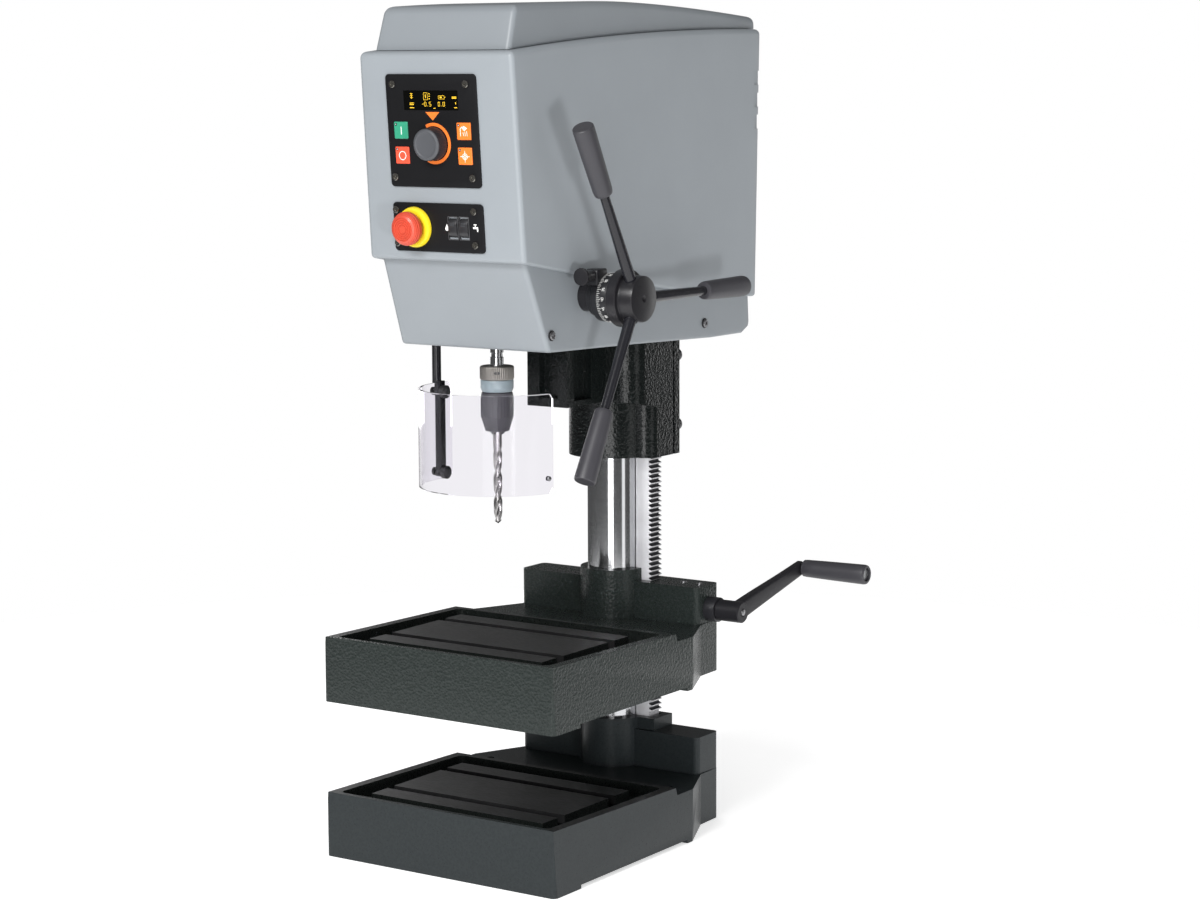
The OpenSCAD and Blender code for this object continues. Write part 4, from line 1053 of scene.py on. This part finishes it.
def make_feed():
    turned("feed_bush", "hub", 96,
           [(10.06, 30.2), (15.6, 30.2), (16, 30.8), (16, 44), (17.4, 44), (18, 44.8), (18, 119.6), (17.2, 120.4),
            (10.06, 120.4), (10.06, 30.2)], HUB)
    turned("depth_dial", "dial", 144,
           [(10.06, 121.1), (21.6, 121.1), (22.4, 121.9), (22.4, 130.4), (27.6, 131.2), (28.5, 132.0),
            (28.62, 134.0), (29.9, 154.2), (29.4, 155.3), (10.06, 155.4), (10.06, 121.1)], HUB)
    # clamp lug, on the half of the ring towards the head
    t = Mesh()
    t.prism(rounded(-27, -5.2, 15, 34.9, 3.5, 5), 125.1, 140.9, M["dial"],
            shift(0, *FEED) @ Matrix(((0, 0, 1, 0), (1, 0, 0, 0), (0, 1, 0, 0), (0, 0, 0, 1))))
    t.done("depth_dial_lug", "depth_dial", "depth_dial", width=0.8, segs=3)
    # graduations and figures round the ring
    t = Mesh()
    half_line = 0.2
    for k in range(80):
        a = 2 * math.pi * k / 80
        c, s = math.cos(a), math.sin(a)
        pts = []
        for x in (140.6, 146.4 if k % 5 == 0 else (145.0 if k % 2 else 143.8)):
            for r in (cone(x) - 0.25, cone(x) + 0.12):
                for w in (-half_line, half_line):
                    pts.append(Vector((x, FEED[0] + r * c - w * s, FEED[1] + (r * s + w * c))))
        t.faces(pts, [(0, 1, 3, 2), (4, 6, 7, 5), (0, 4, 5, 1), (2, 3, 7, 6), (0, 2, 6, 4), (1, 5, 7, 3)],
                M["white"])
    for k in range(16):
        at = shift(149.6, *FEED) @ spin(22.5 * k - 90, "X") @ shift(0, 0, cone(149.6) - 0.12) @ spin(90, "Z")
        digits(t, str(k * 5), 0, 0, 3.0, 0.4, 0.0, 0.3, M["white"], at)
    t.done("dial_graduations", "depth_dial", "depth_dial")

    # clamp knob of the scale ring
    def ribs(a, r, z):
        return -0.5 * (0.5 - 0.5 * math.cos(18 * a)) if r > 9.6 and 41 < z < 49.6 else 0.0
    turned("dial_knob", "hub", 108,
           [(2.95, 12.1), (2.95, 27.4), (6.6, 27.4), (7.0, 28.0), (7.0, 39.6), (8.6, 42.4), (10.4, 46.2),
            (10.68, 47.4), (10.68, 48.6), (10.1, 49.6), (9.0, 49.95), (0.4, 49.95)],
           shift(133, FEED[0], FEED[1] + 27) @ spin(90, "X"), wave=ribs)
    # hub with its flange and centre dimple
    turned("feed_hub", "hub", 144,
           [(10.02, 156.1), (33.2, 156.1), (33.95, 156.9), (33.95, 168.4), (33.2, 169.3), (28.6, 169.5),
            (27.7, 170.2), (27.45, 171.2), (27.45, 187.2), (26.9, 188.5), (25.6, 188.95), (4.0, 188.95),
            (3.4, 188.4), (2.2, 186.9), (0.4, 186.3)], HUB)
    rods, grips = Mesh(), Mesh()
    for a in (0, 120, 240):
        at = (shift(0, *FEED) @ spin(a, "X") @ shift(178, 0, 0) @ spin(-90, "X") @ spin(1.2, "Y")
              @ shift(0, 0, 16))
        rods.lathe([(4.98, 0.6), (4.98, 10.4), (7.0, 10.6), (7.2, 11.4), (7.12, 14), (6.4, 70), (5.62, 127.9),
                    (4.48, 128), (4.48, 183.8), (3.9, 184)], M["rod"], 48, at)
        grips.lathe([(4.52, 128.05), (9.6, 128.05), (10.5, 128.9), (11.1, 131), (11.5, 134.5), (12.1, 165),
                     (12.7, 200), (12.86, 214.6), (12.5, 217.1), (11.6, 217.95), (0.4, 217.95)],
                    M["grip"], 72, at)
    rods.piece("feed_rods", smooth=30)
    grips.piece("feed_grips", smooth=30)


make_feed()

# ------------------------------------------------------------------ guard


def make_guard():
    mid, half, edge = 93.5, 1.5, 0.5     # mean radius, half thickness, bevel of the sheet
    corner = 6.0                         # rounding of its four outer corners
    low, top = 456.0, 575.0
    path = [(-mid, 30.9 - 30.9 * k / 6, 1.0, 0.0) for k in range(7)]
    for k in range(1, 73):
        a = math.radians(180 + 170 * k / 72)
        path.append((mid * math.cos(a), mid * math.sin(a), -math.cos(a), -math.sin(a)))
    total = [0.0]
    for p, q in zip(path, path[1:]):
        total.append(total[-1] + math.hypot(q[0] - p[0], q[1] - p[1]))
    rows = []
    for (x, y, nx, ny), s in zip(path, total):
        e = min(s, total[-1] - s)
        d = corner - math.sqrt(max(0.0, corner ** 2 - (corner - e) ** 2)) if e < corner else 0.0
        lo, hi, w = low + d, top - d, half - edge
        section = [(-half, lo + edge), (-w, lo), (w, lo), (half, lo + edge), (half, hi - edge), (w, hi), (-w, hi),
                   (-half, hi - edge)]
        rows.append([Vector((x - nx * u, SP_Y + y - ny * u, z)) for u, z in section])
    t = Mesh()
    t.rings(rows, M["clear"])
    t.piece("guard_shield", smooth=30)
    # small rivet near the right lower corner of the shield
    t = Mesh()
    t.lathe([(3.0, 91.2), (3.0, 91.9), (1.4, 92.0), (1.4, 95.0), (3.0, 95.05), (2.6, 95.9), (1.2, 96.2),
             (0.3, 96.25)], M["zinc"], 24, shift(0, SP_Y, 474) @ spin(-14, "Z") @ spin(90, "Y"))
    t.done("guard_rivet", "guard", "guard_shield", smooth=40)


make_guard()
refine("guard_rod", M["rod"], 0.7, 3)
refine("guard_knobs", M["black"], 0.6, 3)


# ------------------------------------------------------------------ stage, light and camera

WORLD_SOFT = 0.33      # the world's strength on diffuse surfaces
WORLD_GLOSS = 0.11     # and in reflections
FLOOR_R, FLOOR_Z = 1.7, -0.0002    # just under the feet, so that the two faces don't coincide


def make_stage():
    m = surface("floor_pale", 0.7, color=(0.93, 0.93, 0.93), spec=0.1)
    put(sockets(m), {"Emission Color": (1, 1, 1, 1), "Emission Strength": 0.55})
    v = coords(m)
    ramp(m, noise(m, v, 3, 2), [(0.2, (0.92, 0.92, 0.92)), (0.8, (0.95, 0.95, 0.95))])
    me = bpy.data.meshes.new("floor")
    me.from_pydata([(x, y, FLOOR_Z) for x, y in circle(FLOOR_R, 96)], [], [tuple(range(96))])
    me.materials.append(m)
    o = bpy.data.objects.new("floor", me)
    SCENE.collection.objects.link(o)
    w = bpy.data.worlds.new("studio")
    SCENE.world = w
    w.use_nodes = True
    nt = w.node_tree
    bg = nt.nodes["Background"]
    bg.inputs["Color"].default_value = (1, 1, 1, 1)
    # white behind the part and through clear pieces, soft grey as ambient light, dim in reflections
    ray = nt.nodes.new("ShaderNodeLightPath")
    last = None
    for out, value in (("Is Diffuse Ray", WORLD_SOFT), ("Is Glossy Ray", WORLD_GLOSS),
                       ("Is Transmission Ray", 1.0)):
        n = nt.nodes.new("ShaderNodeMix")
        n.inputs["A"].default_value = 1.0
        if last:
            nt.links.new(last, n.inputs["A"])
        n.inputs["B"].default_value = value
        nt.links.new(ray.outputs[out], n.inputs["Factor"])
        last = n.outputs["Result"]
    nt.links.new(last, bg.inputs["Strength"])


def area(name, loc, aim, w, h, power):
    d = bpy.data.lights.new(name, "AREA")
    d.shape = "RECTANGLE"
    d.size, d.size_y = w, h
    d.energy = power
    o = bpy.data.objects.new(name, d)
    SCENE.collection.objects.link(o)
    o.location = loc
    o.rotation_euler = (Vector(aim) - Vector(loc)).to_track_quat("-Z", "Y").to_euler()
    return o


def camera():
    """The photo's camera, fitted to the outlines of the castings, the column and the cover."""
    a, e, roll_a = math.radians(34.032), math.radians(7.700), math.radians(-0.217)
    back = Vector((math.sin(a) * math.cos(e), -math.cos(a) * math.cos(e), math.sin(e)))
    right = Vector((math.cos(a), math.sin(a), 0))
    up = back.cross(right)
    r2 = right * math.cos(roll_a) + up * math.sin(roll_a)
    u2 = up * math.cos(roll_a) - right * math.sin(roll_a)
    d = bpy.data.cameras.new("camera")
    d.sensor_width = 36
    d.lens = 84.9
    d.clip_end = 50
    o = bpy.data.objects.new("camera", d)
    SCENE.collection.objects.link(o)
    m = Matrix((r2, u2, back)).transposed().to_4x4()
    m.translation = Vector((1.99588, -2.81472, 0.95599))
    o.matrix_world = m
    SCENE.camera = o


make_stage()


def soft_box(name, az, dist, z, w, h, power):
    """A soft light at a bearing az, measured like the camera's, facing the part's middle."""
    a = math.radians(az)
    return area(name, (dist * math.sin(a), -dist * math.cos(a), z), (0, 0.05, 0.62), w, h, power)


soft_box("key", 25, 3.9, 0.5, 1.5, 2.7, 64)
soft_box("side_strip", 86, 2.8, 0.5, 0.7, 2.2, 6)
soft_box("low_side", 57, 2.8, 0.1, 0.35, 0.35, 27).visible_glossy = False
soft_box("rear_strip", 160, 3.0, 0.5, 0.5, 2.0, 8)
soft_box("left_rear", 235, 3.2, 1.0, 1.2, 1.8, 12)
area("front_high", (0.2, -3.0, 2.5), (0, 0, 0.8), 1.4, 0.9, 94)
area("top", (0.0, 0.2, 3.0), (0, 0, 0.6), 2.2, 1.6, 4)
camera()
SCENE.view_settings.view_transform = "Standard"
